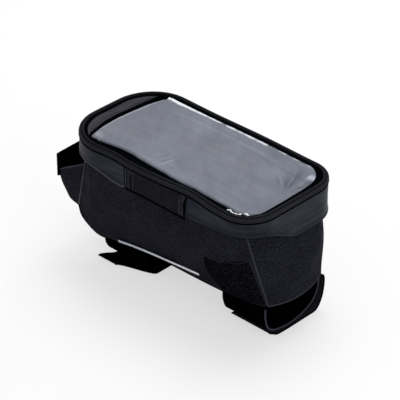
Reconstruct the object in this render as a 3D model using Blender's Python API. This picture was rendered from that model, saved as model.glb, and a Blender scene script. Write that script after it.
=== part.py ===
"""Top tube bag for a bicycle: a padded fabric bag with a zipped, hinged lid that holds a phone
under a clear window, two hook-and-loop straps for the top tube and one for the head tube.

-X points to the stem, +X to the rider and -Y to the rider's left. The bag stands on its straps
at z = 0, with the origin under the middle of its bounding box. Heights called drop are measured
down from the top of the lid, and insets are measured in from the lid's outline.
"""

import math

import bmesh
import bpy
from mathutils import Matrix, Vector

MM = 0.001
GAP = 0.3 * MM

# Lid outline, seen from above
LID_LENGTH = 216 * MM
LID_WIDTH = 110 * MM
LID_FRONT_RADIUS = 40 * MM
LID_REAR_RADIUS = 28 * MM
CORNER_STEPS = 7

# Overall reach and height
TOTAL_HEIGHT = 125 * MM
FRONT_REACH = 127 * MM
REAR_REACH = 111.5 * MM
LID_X = (FRONT_REACH - REAR_REACH) / 2

# Rim of the lid
PIPING_RADIUS = 2.2 * MM
PIPING_SIDES = 8
SKIRT_INSET = 0.4 * MM
SKIRT_THICKNESS = 1.4 * MM
SKIRT_DEPTH = 24 * MM
SKIRT_DEPTH_FRONT = 25.6 * MM
SKIRT_DEPTH_FRONT_CORNER = 19.8 * MM
SKIRT_DEPTH_REAR = 22 * MM
SKIRT_DEPTH_REAR_CORNER = 18.2 * MM
SKIRT_DEPTH_RIGHT = 33.5 * MM
SKIRT_FRONT_RISE = (38 * MM, 76 * MM)
SKIRT_REAR_RISE = (36 * MM, 96 * MM)
SKIRT_REAR_STEP = (-40 * MM, 3 * MM)
SKIRT_FRONT_STEP = (-20 * MM, 20 * MM)
BINDING_WIDTH = 2.5 * MM
BINDING_HEIGHT = 1.8 * MM

# Hinge fabric in the left side of the skirt, x from the lid's centre
HINGE_FRONT = -30 * MM
HINGE_REAR = 36 * MM

# Window in the lid, by its margins in from the lid's outline
WINDOW_FRONT_MARGIN = 21 * MM
WINDOW_REAR_MARGIN = 10 * MM
WINDOW_SIDE_MARGIN = 11 * MM
WINDOW_FRONT = -LID_LENGTH / 2 + WINDOW_FRONT_MARGIN
WINDOW_REAR = LID_LENGTH / 2 - WINDOW_REAR_MARGIN
WINDOW_HALF_WIDTH = LID_WIDTH / 2 - WINDOW_SIDE_MARGIN
WINDOW_FRONT_RADIUS = 9 * MM
WINDOW_REAR_RADIUS = 22 * MM
FILM_THICKNESS = 0.8 * MM
FILM_OVERLAP = 4 * MM
FILM_EDGE = 0.4 * MM
FILM_SLOPE = 3.8 * MM
FILM_DROP_LEFT = 3.4 * MM
FILM_DROP_RIGHT = 1.2 * MM
BORDER_THICKNESS = 1.2 * MM
BORDER_DROP = 3 * MM
FRONT_BAND_THICKNESS = 0.8 * MM
FRONT_BAND_MARGIN = 1.2 * MM

# Phone pocket under the window
BOARD_THICKNESS = 0.6 * MM
POCKET_DEPTH = 7 * MM
POCKET_WALL_INSET = 15.2 * MM
POCKET_WALL = 2 * MM
POCKET_BACK_THICKNESS = 1.2 * MM
POCKET_MOUTH = 80 * MM

# Zip between lid and bag
ZIP_INSET = 7.5 * MM
ZIP_TAPE_THICKNESS = 0.6 * MM
ZIP_CHAIN_THICKNESS = 2.2 * MM
ZIP_CHAIN_HEIGHT = 2.2 * MM
ZIP_CHAIN_SPACE = 1.8 * MM
ZIP_UPPER_TAPE = 3.1 * MM
ZIP_LOWER_TAPE = 5.6 * MM
SLIDER_LENGTH = 12 * MM
SLIDER_PLATE = 1.0 * MM
SLIDER_CLEARANCE = 0.8 * MM
SLIDER_X = 44 * MM
PULL_LENGTH = 20 * MM
PULL_WIDTH = 5 * MM
PULL_THICKNESS = 1.2 * MM

# Walls of the bag: outer fabric, foam and lining, as depths in from the outside
FABRIC = 1.2 * MM
FOAM = 2.8 * MM
LINING = 0.6 * MM
FOAM_SPACE = 0.9 * MM
LINING_SPACE = 0.9 * MM
SIDE_BULGE = 4 * MM
REAR_BULGE = 2.5 * MM
CORNER_BULGE = 1.6 * MM
CORNER_BULGE_REACH = 0.8
FRONT_TOP_X = -94 * MM
REAR_TOP_X = 93 * MM
FRONT_HOLLOW = 8 * MM
SEAM_SIDE = 0.002
SEAM_ACROSS = 0.008
FOAM_MARGIN = 0.012

# Stations along each side wall, front to rear, in mm: x of the top edge, then x, half width and
# height of the bottom edge. x is measured from the lid's centre and the height from the ground.
SIDE_STATIONS = (
    (-94, -101, 40, 47),
    (-89, -97, 39.5, 36),
    (-80, -82, 38, 26),
    (-65, -66, 36.5, 25.5),
    (-28, -28, 34, 29.5),
    (44, 46, 32, 29.5),
    (76, 82, 31.5, 32),
    (88, 99, 31.5, 35),
    (93, 106, 31.5, 38),
)
SIDE_COLUMNS = 16
SIDE_ROWS = 6
ACROSS_COLUMNS = 12
BASE_HOLLOW_REACH = 0.25

# Reflective stripe low on each side wall: its ends as x from the lid's centre, and height
STRIPE_WIDTH = 2.5 * MM
STRIPE_THICKNESS = 0.5 * MM
STRIPE_FRONT = (-58 * MM, 29.3 * MM)
STRIPE_REAR = (34 * MM, 36.5 * MM)

# Hook-and-loop patch: its corners as shares of the side wall's length and height
PATCH_THICKNESS = 1.2 * MM
PATCH_TOP_FRONT = (0.63, 0.50)
PATCH_TOP_REAR = (0.93, 0.30)
PATCH_BOTTOM_FRONT = (0.67, 0.975)
PATCH_BOTTOM_REAR = (0.965, 0.975)

# Rubber pad under the base
PAD_FRONT = -24 * MM
PAD_REAR = 40 * MM
PAD_HALF_WIDTH = 18 * MM
PAD_THICKNESS = 1.5 * MM

# Straps
STRAP_THICKNESS = 2 * MM
HOOK_THICKNESS = 1 * MM
REAR_STRAP = (57 * MM, 103 * MM)
REAR_STRAP_RISE = 3.5 * MM
FRONT_STRAP = (-75 * MM, -29 * MM)
FRONT_STRAP_RISE = 3.3 * MM
TAIL_TAPER = (20 * MM, 36 * MM)
TAIL_SPREAD = 8 * MM
TAIL_CUT = 34 * MM
WING_THICKNESS = 2 * MM
WING_SEAM_TOP = -96.6 * MM
WING_SEAM_LOW = -101.3 * MM
WING_END = 3 * MM
BAND_THICKNESS = 1.8 * MM
BAND_HALF_LENGTH = 41 * MM
BAND_LOW = 65 * MM
BAND_HIGH = 87 * MM
BAND_BOW = 0.9 * MM

# Heights down the lid, each from the one above
PIPING_DROP = 2 * PIPING_RADIUS
SKIRT_TOP = PIPING_DROP + GAP
RIM_INSIDE = 2 * PIPING_RADIUS + 0.5 * MM
FILM_DROP = BORDER_DROP + BORDER_THICKNESS + GAP
BOARD_DROP = FILM_DROP + FILM_THICKNESS + GAP
UNDER_BOARD = BOARD_DROP + BOARD_THICKNESS + GAP
UPPER_CHAIN_DROP = UNDER_BOARD + ZIP_UPPER_TAPE + GAP
LOWER_CHAIN_DROP = UPPER_CHAIN_DROP + ZIP_CHAIN_HEIGHT + ZIP_CHAIN_SPACE
LOWER_TAPE_DROP = LOWER_CHAIN_DROP + ZIP_CHAIN_HEIGHT + GAP
WALL_DROP = LOWER_TAPE_DROP + ZIP_LOWER_TAPE + GAP
WALL_TOP = TOTAL_HEIGHT - WALL_DROP
WALL_INSET = ZIP_INSET - FABRIC / 2
HINGE_DROP = SKIRT_DEPTH + SKIRT_THICKNESS / 2
HINGE_AXIS = Vector((0, -LID_WIDTH / 2 + SKIRT_INSET, TOTAL_HEIGHT - HINGE_DROP))
SLIDER_AXIS = Vector((LID_X + SLIDER_X, -LID_WIDTH / 2 + ZIP_INSET, TOTAL_HEIGHT - UPPER_CHAIN_DROP))


def material(name, colour, roughness, metallic=0.0, alpha=1.0):
    """A plain Principled finish, with its colour as it looks on screen, 0 to 255."""
    made = bpy.data.materials.new(name)
    made.use_nodes = True
    shader = made.node_tree.nodes["Principled BSDF"]
    linear = [(channel / 255) ** 2.2 for channel in colour]
    shader.inputs["Base Color"].default_value = (*linear, 1)
    shader.inputs["Roughness"].default_value = roughness
    shader.inputs["Metallic"].default_value = metallic
    shader.inputs["Alpha"].default_value = alpha
    made.diffuse_color = (*linear, alpha)
    return made


def solid(name, finish, vertices, faces, parent=None):
    """One closed body from its corners and faces, linked to the scene with its faces outward."""
    mesh = bpy.data.meshes.new(name)
    mesh.from_pydata([tuple(v) for v in vertices], [], faces)
    mesh.materials.append(finish)
    mesh.validate()
    mesh.shade_smooth()
    mesh.set_sharp_from_angle(angle=math.radians(35))
    made = bpy.data.objects.new(name, mesh)
    bpy.context.scene.collection.objects.link(made)
    if parent:
        made.parent = parent
        made.matrix_parent_inverse = Matrix.Translation(parent.location).inverted()
    turn_outward(mesh)
    return made


def turn_outward(mesh):
    """Flips the whole mesh if its signed volume is negative."""
    mesh.calc_loop_triangles()
    volume = 0
    for triangle in mesh.loop_triangles:
        a, b, c = (mesh.vertices[i].co for i in triangle.vertices)
        volume += a.dot(b.cross(c))
    if volume < 0:
        mesh.flip_normals()


def sweep(name, finish, sections, closed=False, parent=None):
    """Joins like sections in a row. A section runs out along one face and back along the other,
    so an open sweep is capped by the quads between the two."""
    count = len(sections[0])
    rows = len(sections)
    faces = []
    for row in range(rows if closed else rows - 1):
        here = row * count
        after = (row + 1) % rows * count
        for side in range(count):
            beside = (side + 1) % count
            faces.append((here + side, here + beside, after + beside, after + side))
    if not closed:
        last = (rows - 1) * count
        for side in range(count // 2 - 1):
            cap = (side, side + 1, count - 2 - side, count - 1 - side)
            faces.append(tuple(reversed(cap)))
            faces.append(tuple(last + corner for corner in cap))
    return solid(name, finish, [p for section in sections for p in section], faces, parent)


def prism(name, finish, outline, low, high, axis="z", parent=None):
    """A flat outline pushed along Z, or along X where its points are (y, z)."""
    if axis == "z":
        bottom = [(x, y, low) for x, y in outline]
        top = [(x, y, high) for x, y in outline]
    else:
        bottom = [(low, y, z) for y, z in outline]
        top = [(high, y, z) for y, z in outline]
    count = len(outline)
    faces = [tuple(reversed(range(count))), tuple(range(count, 2 * count))]
    for corner in range(count):
        beside = (corner + 1) % count
        faces.append((corner, beside, count + beside, count + corner))
    return solid(name, finish, bottom + top, faces, parent)


def rounded(front, rear, half_width, front_radius, rear_radius):
    """A rectangle with round corners, anticlockwise from its rear left corner, as (x, y)."""
    corners = (
        (rear - rear_radius, -half_width + rear_radius, rear_radius, -90),
        (rear - rear_radius, half_width - rear_radius, rear_radius, 0),
        (front + front_radius, half_width - front_radius, front_radius, 90),
        (front + front_radius, -half_width + front_radius, front_radius, 180),
    )
    points = []
    for x, y, radius, start in corners:
        for step in range(CORNER_STEPS + 1):
            angle = math.radians(start + 90 * step / CORNER_STEPS)
            points.append((LID_X + x + radius * math.cos(angle), y + radius * math.sin(angle)))
    return points


def lid_outline(inset):
    """The lid's outline, moved in by inset."""
    return rounded(
        -LID_LENGTH / 2 + inset,
        LID_LENGTH / 2 - inset,
        LID_WIDTH / 2 - inset,
        LID_FRONT_RADIUS - inset,
        LID_REAR_RADIUS - inset,
    )


def zip_route(inset, start=HINGE_REAR):
    """The way of the zip: from the rear end of the hinge fabric right round to its front end."""
    left = -LID_WIDTH / 2 + inset
    return [(LID_X + start, left), *lid_outline(inset), (LID_X + HINGE_FRONT, left)]


def around(name, finish, profile, route=lid_outline, closed=True, parent=None):
    """Sweeps a profile of (inset, drop) pairs along a route. A drop may depend on the place."""
    loops = [route(inset) for inset, drop in profile]
    sections = []
    for index in range(len(loops[0])):
        section = []
        for (inset, drop), loop in zip(profile, loops):
            x, y = loop[index]
            below = drop(x - LID_X, y) if callable(drop) else drop
            section.append((x, y, TOTAL_HEIGHT - below))
        sections.append(section)
    return sweep(name, finish, sections, closed, parent)


def strip_profile(middle, thickness, top, height):
    """The profile of an upright strip, centred on an inset."""
    outer = middle - thickness / 2
    inner = middle + thickness / 2
    return ((outer, top), (outer, top + height), (inner, top + height), (inner, top))


def ease(value, start, end):
    """0 before start and 1 after end, with a soft turn between them."""
    share = min(max((value - start) / (end - start), 0), 1)
    return share * share * (3 - 2 * share)


def skirt_drop(x, y):
    """How far the skirt hangs: least at the left corners and most on the right."""
    if x > 0:
        rise = ease(x, *SKIRT_REAR_RISE)
        left = SKIRT_DEPTH_REAR + rise * (SKIRT_DEPTH_REAR_CORNER - SKIRT_DEPTH_REAR)
        step = ease(y, *SKIRT_REAR_STEP)
    else:
        rise = ease(-x, *SKIRT_FRONT_RISE)
        left = SKIRT_DEPTH_FRONT + rise * (SKIRT_DEPTH_FRONT_CORNER - SKIRT_DEPTH_FRONT)
        step = ease(y, *SKIRT_FRONT_STEP)
    return left + step * (SKIRT_DEPTH_RIGHT - left)


def corner_point(x, y):
    """The point of the wall's top outline at this x or y, and the direction out from it."""
    half_length = LID_LENGTH / 2
    half_width = LID_WIDTH / 2
    radius = LID_REAR_RADIUS if x > 0 else LID_FRONT_RADIUS
    centre_x = math.copysign(half_length - radius, x)
    centre_y = math.copysign(half_width - radius, y)
    out_x = max(abs(x) - abs(centre_x), 0)
    out_y = max(abs(y) - abs(centre_y), 0)
    return math.copysign(out_x, x), math.copysign(out_y, y), centre_x, centre_y, radius - WALL_INSET


def top_side_point(side, x, depth):
    """The top edge of a side wall at x, moved in by depth."""
    out_x, _, centre_x, centre_y, radius = corner_point(x, side * LID_WIDTH)
    if out_x == 0:
        return Vector((LID_X + x, side * (LID_WIDTH / 2 - WALL_INSET - depth), WALL_TOP))
    angle = math.acos(min(abs(out_x) / radius, 1))
    reach = radius - depth
    x = centre_x + math.copysign(reach * math.cos(angle), out_x)
    return Vector((LID_X + x, centre_y + side * reach * math.sin(angle), WALL_TOP))


def top_end_point(end, across, depth):
    """The top edge of the front (end -1) or rear (end 1) wall; across runs from -1 to 1."""
    corner = top_side_point(1, REAR_TOP_X if end > 0 else FRONT_TOP_X, 0)
    y = across * corner.y
    _, out_y, centre_x, centre_y, radius = corner_point(end * LID_LENGTH, y)
    if out_y == 0:
        shift = (LID_WIDTH / 2 - WALL_INSET - depth) / (LID_WIDTH / 2 - WALL_INSET)
        return Vector((LID_X + end * (LID_LENGTH / 2 - WALL_INSET - depth), y * shift, WALL_TOP))
    angle = math.asin(min(abs(out_y) / radius, 1))
    reach = radius - depth
    y = centre_y + math.copysign(reach * math.sin(angle), out_y)
    return Vector((LID_X + centre_x + end * reach * math.cos(angle), y, WALL_TOP))


def station(along):
    """The side wall's measures at a share of its length, in metres."""
    place = along * (len(SIDE_STATIONS) - 1)
    index = min(int(place), len(SIDE_STATIONS) - 2)
    share = place - index
    before, after = SIDE_STATIONS[index], SIDE_STATIONS[index + 1]
    return [(a + (b - a) * share) * MM for a, b in zip(before, after)]


def base_point(along, across, depth):
    """The underside: hollow at the front for the head tube and full at the rear."""
    _, x, half_width, height = station(along)
    curve = 1 - across * across
    front = max(1 - along / BASE_HOLLOW_REACH, 0)
    rear = max((along - 1 + BASE_HOLLOW_REACH) / BASE_HOLLOW_REACH, 0) ** 2
    rear_corner = SIDE_STATIONS[-1][1] * MM
    x += curve * (front * FRONT_HOLLOW + rear * (REAR_REACH - rear_corner))
    height -= curve * (front * 2 * MM + rear * REAR_BULGE)
    x -= depth * x / (LID_LENGTH / 2)
    return Vector((LID_X + x, across * (half_width - depth), height + depth))


def side_point(side, along, down, depth):
    """A side wall (side -1 is the left one), between its top and bottom edges."""
    top = top_side_point(side, station(along)[0], depth)
    bottom = base_point(along, side, depth)
    belly = SIDE_BULGE * math.sin(math.pi * down) * math.sin(math.pi * along)
    corner = corner_bulge(down) * ease(along, CORNER_BULGE_REACH, 1)
    return top.lerp(bottom, down) + Vector((corner, side * (belly + corner), 0))


def corner_bulge(down):
    """How far the rear seams bow out at a share of their height."""
    return CORNER_BULGE * math.sin(math.pi * down) ** 2


def rear_point(across, down, depth):
    """The rear wall, which bellies out a little."""
    belly = REAR_BULGE * math.sin(math.pi * down) * (1 - across * across)
    corner = corner_bulge(down)
    top = top_end_point(1, across, depth)
    return top.lerp(base_point(1, across, depth), down) + Vector((belly + corner, across * corner, 0))


def front_point(across, down, depth):
    """The front wall, which hollows towards the head tube."""
    return top_end_point(-1, across, depth).lerp(base_point(0, across, depth), down)


def shares(low, high, count):
    """Count + 1 numbers evenly spaced from low to high."""
    return [low + (high - low) * step / count for step in range(count + 1)]


def layer(name, finish, point, first, second, outer, inner):
    """A sheet of a wall, between two depths, over the given shares of the wall."""
    sections = []
    for a in first:
        out = [point(a, b, outer) for b in second]
        back = [point(a, b, inner) for b in reversed(second)]
        sections.append(out + back)
    return sweep(name, finish, sections)


def smooth(points, steps=3):
    """A soft curve through points, with steps pieces between each two."""
    points = [Vector(p) for p in points]
    made = []
    for index in range(len(points) - 1):
        before = points[max(index - 1, 0)]
        start, end = points[index], points[index + 1]
        after = points[min(index + 2, len(points) - 1)]
        for step in range(steps):
            t = step / steps
            made.append(
                0.5
                * (
                    2 * start
                    + (end - before) * t
                    + (2 * before - 5 * start + 4 * end - after) * t * t
                    + (3 * start - before - 3 * end + after) * t**3
                )
            )
    return [*made, points[-1]]


def ribbon(name, finish, front_edge, rear_edge, thickness, parent=None):
    """A flat band between two edges of as many points, half its thickness to each side."""
    sections = []
    last = len(front_edge) - 1
    for index, (front, rear) in enumerate(zip(front_edge, rear_edge)):
        before, after = max(index - 1, 0), min(index + 1, last)
        along = front_edge[after] - front_edge[before] + rear_edge[after] - rear_edge[before]
        out = along.cross(rear - front).normalized() * thickness / 2
        sections.append([front + out, rear + out, rear - out, front - out])
    return sweep(name, finish, sections, parent=parent)


def strap(name, finish, route, extent, thickness, rise=0.0):
    """A strap that runs across the bike: route is (y, z) in mm, extent its two x values. Its high
    ends slope up to the rear by rise, and no part of it is lower than the ground."""
    points = smooth([(0, y * MM, z * MM) for y, z in route])
    top = max(p.z for p in points)
    front = []
    rear = []
    for point in points:
        height = max(point.z, thickness / 2)
        slope = rise * ease(height, top / 2, top)
        front.append(Vector((LID_X + extent[0], point.y, height)))
        rear.append(Vector((LID_X + extent[1], point.y, height + slope)))
    return ribbon(name, finish, front, rear, thickness)


def make_lid(finishes, hinge):
    """Everything that opens with the lid."""
    fabric, coated, trim, film, lining, foam, zip_coil = (
        finishes[key] for key in ("fabric", "coated", "trim", "film", "lining", "foam", "zip")
    )
    turn = 2 * math.pi / PIPING_SIDES
    cord = [
        (
            GAP + PIPING_RADIUS * (1 - math.cos(turn * (side + 0.5))),
            PIPING_RADIUS * (1 - math.sin(turn * (side + 0.5)) / math.cos(turn / 2)),
        )
        for side in range(PIPING_SIDES)
    ]
    around("lid_piping", trim, cord, parent=hinge)
    binding_top = BORDER_DROP - GAP - BINDING_HEIGHT
    binding = strip_profile(RIM_INSIDE + BINDING_WIDTH / 2, BINDING_WIDTH, binding_top, BINDING_HEIGHT)
    around("inner_binding", trim, binding, parent=hinge)

    skirt_inner = SKIRT_INSET + SKIRT_THICKNESS
    skirt = (
        (SKIRT_INSET, SKIRT_TOP),
        (SKIRT_INSET, skirt_drop),
        (skirt_inner, skirt_drop),
        (skirt_inner, SKIRT_TOP),
    )
    around("lid_skirt", coated, skirt, zip_route, closed=False, parent=hinge)
    make_hinge_panel(fabric, hinge)
    make_window(coated, film, fabric, hinge)
    make_phone_pocket(lining, foam, hinge)

    tape = strip_profile(ZIP_INSET, ZIP_TAPE_THICKNESS, UNDER_BOARD, ZIP_UPPER_TAPE)
    around("upper_zip_tape", fabric, tape, zip_route, closed=False, parent=hinge)
    chain = strip_profile(ZIP_INSET, ZIP_CHAIN_THICKNESS, UPPER_CHAIN_DROP, ZIP_CHAIN_HEIGHT)
    chain_start = SLIDER_X + SLIDER_LENGTH / 2 + 2 * MM
    around(
        "upper_zip_teeth",
        zip_coil,
        chain,
        lambda inset: zip_route(inset, chain_start),
        closed=False,
        parent=hinge,
    )


def make_hinge_panel(fabric, hinge):
    """Fabric that joins the lid to the left wall, turned in at its lower edge."""
    outer = -LID_WIDTH / 2 + SKIRT_INSET
    inner = outer + SKIRT_THICKNESS
    wall = -LID_WIDTH / 2 + WALL_INSET - 2 * GAP
    top = TOTAL_HEIGHT - SKIRT_TOP
    low = TOTAL_HEIGHT - HINGE_DROP
    fold = low + SKIRT_THICKNESS
    outline = ((outer, top), (inner, top), (inner, fold), (wall, fold), (wall, low), (outer, low))
    front = LID_X + HINGE_FRONT + GAP
    rear = LID_X + HINGE_REAR - GAP
    prism("hinge_panel", fabric, outline, front, rear, "x", hinge)


def make_window(coated, film, fabric, hinge):
    """The lid's top: its border, the clear film under it and the plain band at the front."""
    window = rounded(
        WINDOW_FRONT, WINDOW_REAR, WINDOW_HALF_WIDTH, WINDOW_FRONT_RADIUS, WINDOW_REAR_RADIUS
    )
    border = lid_outline(RIM_INSIDE)
    top = TOTAL_HEIGHT - BORDER_DROP
    low = top - BORDER_THICKNESS
    sections = [
        [(*outer, top), (*outer, low), (*inner, low), (*inner, top)]
        for outer, inner in zip(border, window)
    ]
    sweep("lid_border", fabric, sections, closed=True, parent=hinge)

    make_film(film, hinge)

    inset = RIM_INSIDE + BINDING_WIDTH + GAP
    radius = LID_FRONT_RADIUS - inset
    centre_x = -LID_LENGTH / 2 + LID_FRONT_RADIUS
    centre_y = LID_WIDTH / 2 - LID_FRONT_RADIUS
    edge = WINDOW_FRONT - FRONT_BAND_MARGIN
    widest = math.acos((centre_x - edge) / radius)
    arc = [
        (LID_X + centre_x - radius * math.cos(angle), centre_y + radius * math.sin(angle))
        for angle in shares(widest, 0, CORNER_STEPS)
    ]
    band = arc + [(x, -y) for x, y in reversed(arc)]
    band_low = TOTAL_HEIGHT - BORDER_DROP + GAP
    prism("front_band", coated, band, band_low, band_low + FRONT_BAND_THICKNESS, parent=hinge)


def make_film(film, hinge):
    """The clear film: its edge lies under the border and its middle stands up, more on the right."""
    edge_top = TOTAL_HEIGHT - FILM_DROP
    tops = []
    for outset in (FILM_OVERLAP, -FILM_EDGE, -FILM_SLOPE):
        loop = rounded(
            WINDOW_FRONT - outset,
            WINDOW_REAR + outset,
            WINDOW_HALF_WIDTH + outset,
            WINDOW_FRONT_RADIUS + outset,
            WINDOW_REAR_RADIUS + outset,
        )
        raised = outset == -FILM_SLOPE
        tops.append([(x, y, film_height(y) if raised else edge_top) for x, y in loop])
    lows = [[(x, y, z - FILM_THICKNESS) for x, y, z in loop] for loop in reversed(tops)]
    loops = tops[::-1] + lows[::-1]
    count = len(tops[0])
    faces = [tuple(range(count)), tuple(reversed(range((len(loops) - 1) * count, len(loops) * count)))]
    for row in range(len(loops) - 1):
        for corner in range(count):
            beside = (corner + 1) % count
            here, after = row * count, (row + 1) * count
            faces.append((here + beside, here + corner, after + corner, after + beside))
    solid("window_film", film, [p for loop in loops for p in loop], faces, hinge)


def film_height(y):
    """The height of the film's raised middle, which slopes up to the right."""
    share = (y + WINDOW_HALF_WIDTH) / (2 * WINDOW_HALF_WIDTH)
    return TOTAL_HEIGHT - FILM_DROP_LEFT - (FILM_DROP_RIGHT - FILM_DROP_LEFT) * share


def make_phone_pocket(lining, foam, hinge):
    """A thin frame board, a soft wall round the phone and the grey back of the pocket."""
    inner_inset = POCKET_WALL_INSET + POCKET_WALL
    board_middle = (RIM_INSIDE + inner_inset) / 2
    board = strip_profile(board_middle, inner_inset - RIM_INSIDE, BOARD_DROP, BOARD_THICKNESS)
    around("lid_board", foam, board, parent=hinge)
    wall = strip_profile(POCKET_WALL_INSET + POCKET_WALL / 2, POCKET_WALL, UNDER_BOARD, POCKET_DEPTH)
    around("pocket_wall", foam, wall, parent=hinge)
    outline = lid_outline(POCKET_WALL_INSET)
    mouth = LID_X + POCKET_MOUTH
    half_width = LID_WIDTH / 2 - POCKET_WALL_INSET
    front = [point for point in outline if point[0] < LID_X]
    back = [(mouth, half_width), *front, (mouth, -half_width)]
    top = TOTAL_HEIGHT - UNDER_BOARD - POCKET_DEPTH - GAP
    prism("pocket_back", lining, back, top - POCKET_BACK_THICKNESS, top, parent=hinge)


def make_walls(finishes):
    """The five fabric walls of the bag, the padding behind them and the lining."""
    fabric, foam = finishes["fabric"], finishes["foam"]
    along = shares(SEAM_SIDE, 1 - SEAM_SIDE, SIDE_COLUMNS)
    down = shares(0, 1 - SEAM_SIDE, SIDE_ROWS)
    across = shares(-1 + SEAM_ACROSS, 1 - SEAM_ACROSS, ACROSS_COLUMNS)
    pad_along = shares(FOAM_MARGIN, 1 - FOAM_MARGIN, SIDE_COLUMNS)
    pad_down = shares(FOAM_MARGIN, 1 - 2 * FOAM_MARGIN, SIDE_ROWS // 2)
    pad_across = shares(-1 + 2 * FOAM_MARGIN, 1 - 2 * FOAM_MARGIN, ACROSS_COLUMNS)
    foam_out = FABRIC + FOAM_SPACE
    foam_in = foam_out + FOAM
    for word, side in (("left", -1), ("right", 1)):
        wall = side_wall(side)
        layer(f"{word}_side_panel", fabric, wall, along, down, 0, FABRIC)
        layer(f"{word}_side_foam", foam, wall, pad_along, pad_down, foam_out, foam_in)
    layer("rear_panel", fabric, rear_point, across, down, 0, FABRIC)
    layer("rear_foam", foam, rear_point, pad_across, pad_down, foam_out, foam_in)
    layer("front_panel", fabric, front_point, across, down, 0, FABRIC)
    layer("front_foam", foam, front_point, pad_across, pad_down, foam_out, foam_in)
    layer("base_panel", fabric, base_point, along, across, 0, FABRIC)
    layer("base_board", finishes["board"], base_point, pad_along, pad_across, foam_out, foam_in)
    make_lining(finishes["lining"], foam_in + LINING_SPACE + LINING / 2)


def side_wall(side):
    """The point function of one side wall."""
    return lambda along, down, depth: side_point(side, along, down, depth)


def make_lining(finish, depth):
    """One sewn tub inside the padding, a single sheet given its thickness by a modifier."""
    along = shares(0, 1, SIDE_COLUMNS)
    down = shares(0, 1, SIDE_ROWS // 2)
    across = shares(-1, 1, ACROSS_COLUMNS)
    grids = [
        [[side_point(-1, a, d, depth) for a in along] for d in down],
        [[side_point(1, a, d, depth) for a in reversed(along)] for d in down],
        [[rear_point(a, d, depth) for a in across] for d in down],
        [[front_point(a, d, depth) for a in reversed(across)] for d in down],
        [[base_point(a, c, depth) for a in along] for c in across],
    ]
    places = {}
    faces = []
    for grid in grids:
        rows = [[places.setdefault(place_key(p), len(places)) for p in row] for row in grid]
        for upper, lower in zip(rows, rows[1:]):
            for column in range(len(upper) - 1):
                faces.append((upper[column], upper[column + 1], lower[column + 1], lower[column]))
    mesh = bpy.data.meshes.new("lining_tub")
    mesh.from_pydata(list(places), [], faces)
    sheet = bmesh.new()
    sheet.from_mesh(mesh)
    bmesh.ops.recalc_face_normals(sheet, faces=sheet.faces)
    sheet.to_mesh(mesh)
    sheet.free()
    mesh.materials.append(finish)
    mesh.shade_smooth()
    made = bpy.data.objects.new("lining_tub", mesh)
    bpy.context.scene.collection.objects.link(made)
    shell = made.modifiers.new("thickness", "SOLIDIFY")
    shell.thickness = LINING
    shell.offset = 0


def place_key(point):
    """A point rounded to a tenth of a micrometre, so that seams share their corners."""
    return tuple(round(value, 7) for value in point)


def make_trim(finishes):
    """Reflective stripes and hook-and-loop patches on the side walls, and the pad underneath."""
    for word, side in (("left", -1), ("right", 1)):
        wall = side_wall(side)
        stripe = stripe_on(wall)
        lengthwise = shares(0, 1, SIDE_COLUMNS // 2)
        outer = -GAP - STRIPE_THICKNESS
        layer(f"{word}_stripe", finishes["reflective"], stripe, lengthwise, (0, 1), outer, -GAP)
        patch = patch_on(wall)
        outer = -GAP - PATCH_THICKNESS
        steps = shares(0, 1, SIDE_ROWS)
        layer(f"{word}_loop_patch", finishes["loop"], patch, steps, steps, outer, -GAP)
    height = station(0.5)[3]
    top = height - GAP
    pad = [
        (LID_X + PAD_REAR, -PAD_HALF_WIDTH),
        (LID_X + PAD_REAR, PAD_HALF_WIDTH),
        (LID_X + PAD_FRONT, PAD_HALF_WIDTH),
        (LID_X + PAD_FRONT, -PAD_HALF_WIDTH),
    ]
    prism("grip_pad", finishes["rubber"], pad, top - PAD_THICKNESS, top)


def along_at(x):
    """The share of a side wall's length at which its bottom edge has this x."""
    low, high = 0.0, 1.0
    for _ in range(30):
        middle = (low + high) / 2
        if station(middle)[1] < x:
            low = middle
        else:
            high = middle
    return low


def stripe_on(wall):
    """A narrow straight strip low on a side wall."""

    def point(lengthwise, crosswise, depth):
        x, height = Vector(STRIPE_FRONT).lerp(Vector(STRIPE_REAR), lengthwise)
        along = along_at(x)
        edge = station(along)[3]
        height += (0.5 - crosswise) * STRIPE_WIDTH
        return wall(along, (WALL_TOP - height) / (WALL_TOP - edge), depth)

    return point


def patch_on(wall):
    """A four-sided patch at the rear of a side wall."""

    def point(lengthwise, crosswise, depth):
        top = Vector(PATCH_TOP_FRONT).lerp(Vector(PATCH_TOP_REAR), lengthwise)
        bottom = Vector(PATCH_BOTTOM_FRONT).lerp(Vector(PATCH_BOTTOM_REAR), lengthwise)
        along, down = top.lerp(bottom, crosswise)
        return wall(along, down, depth)

    return point


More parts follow.
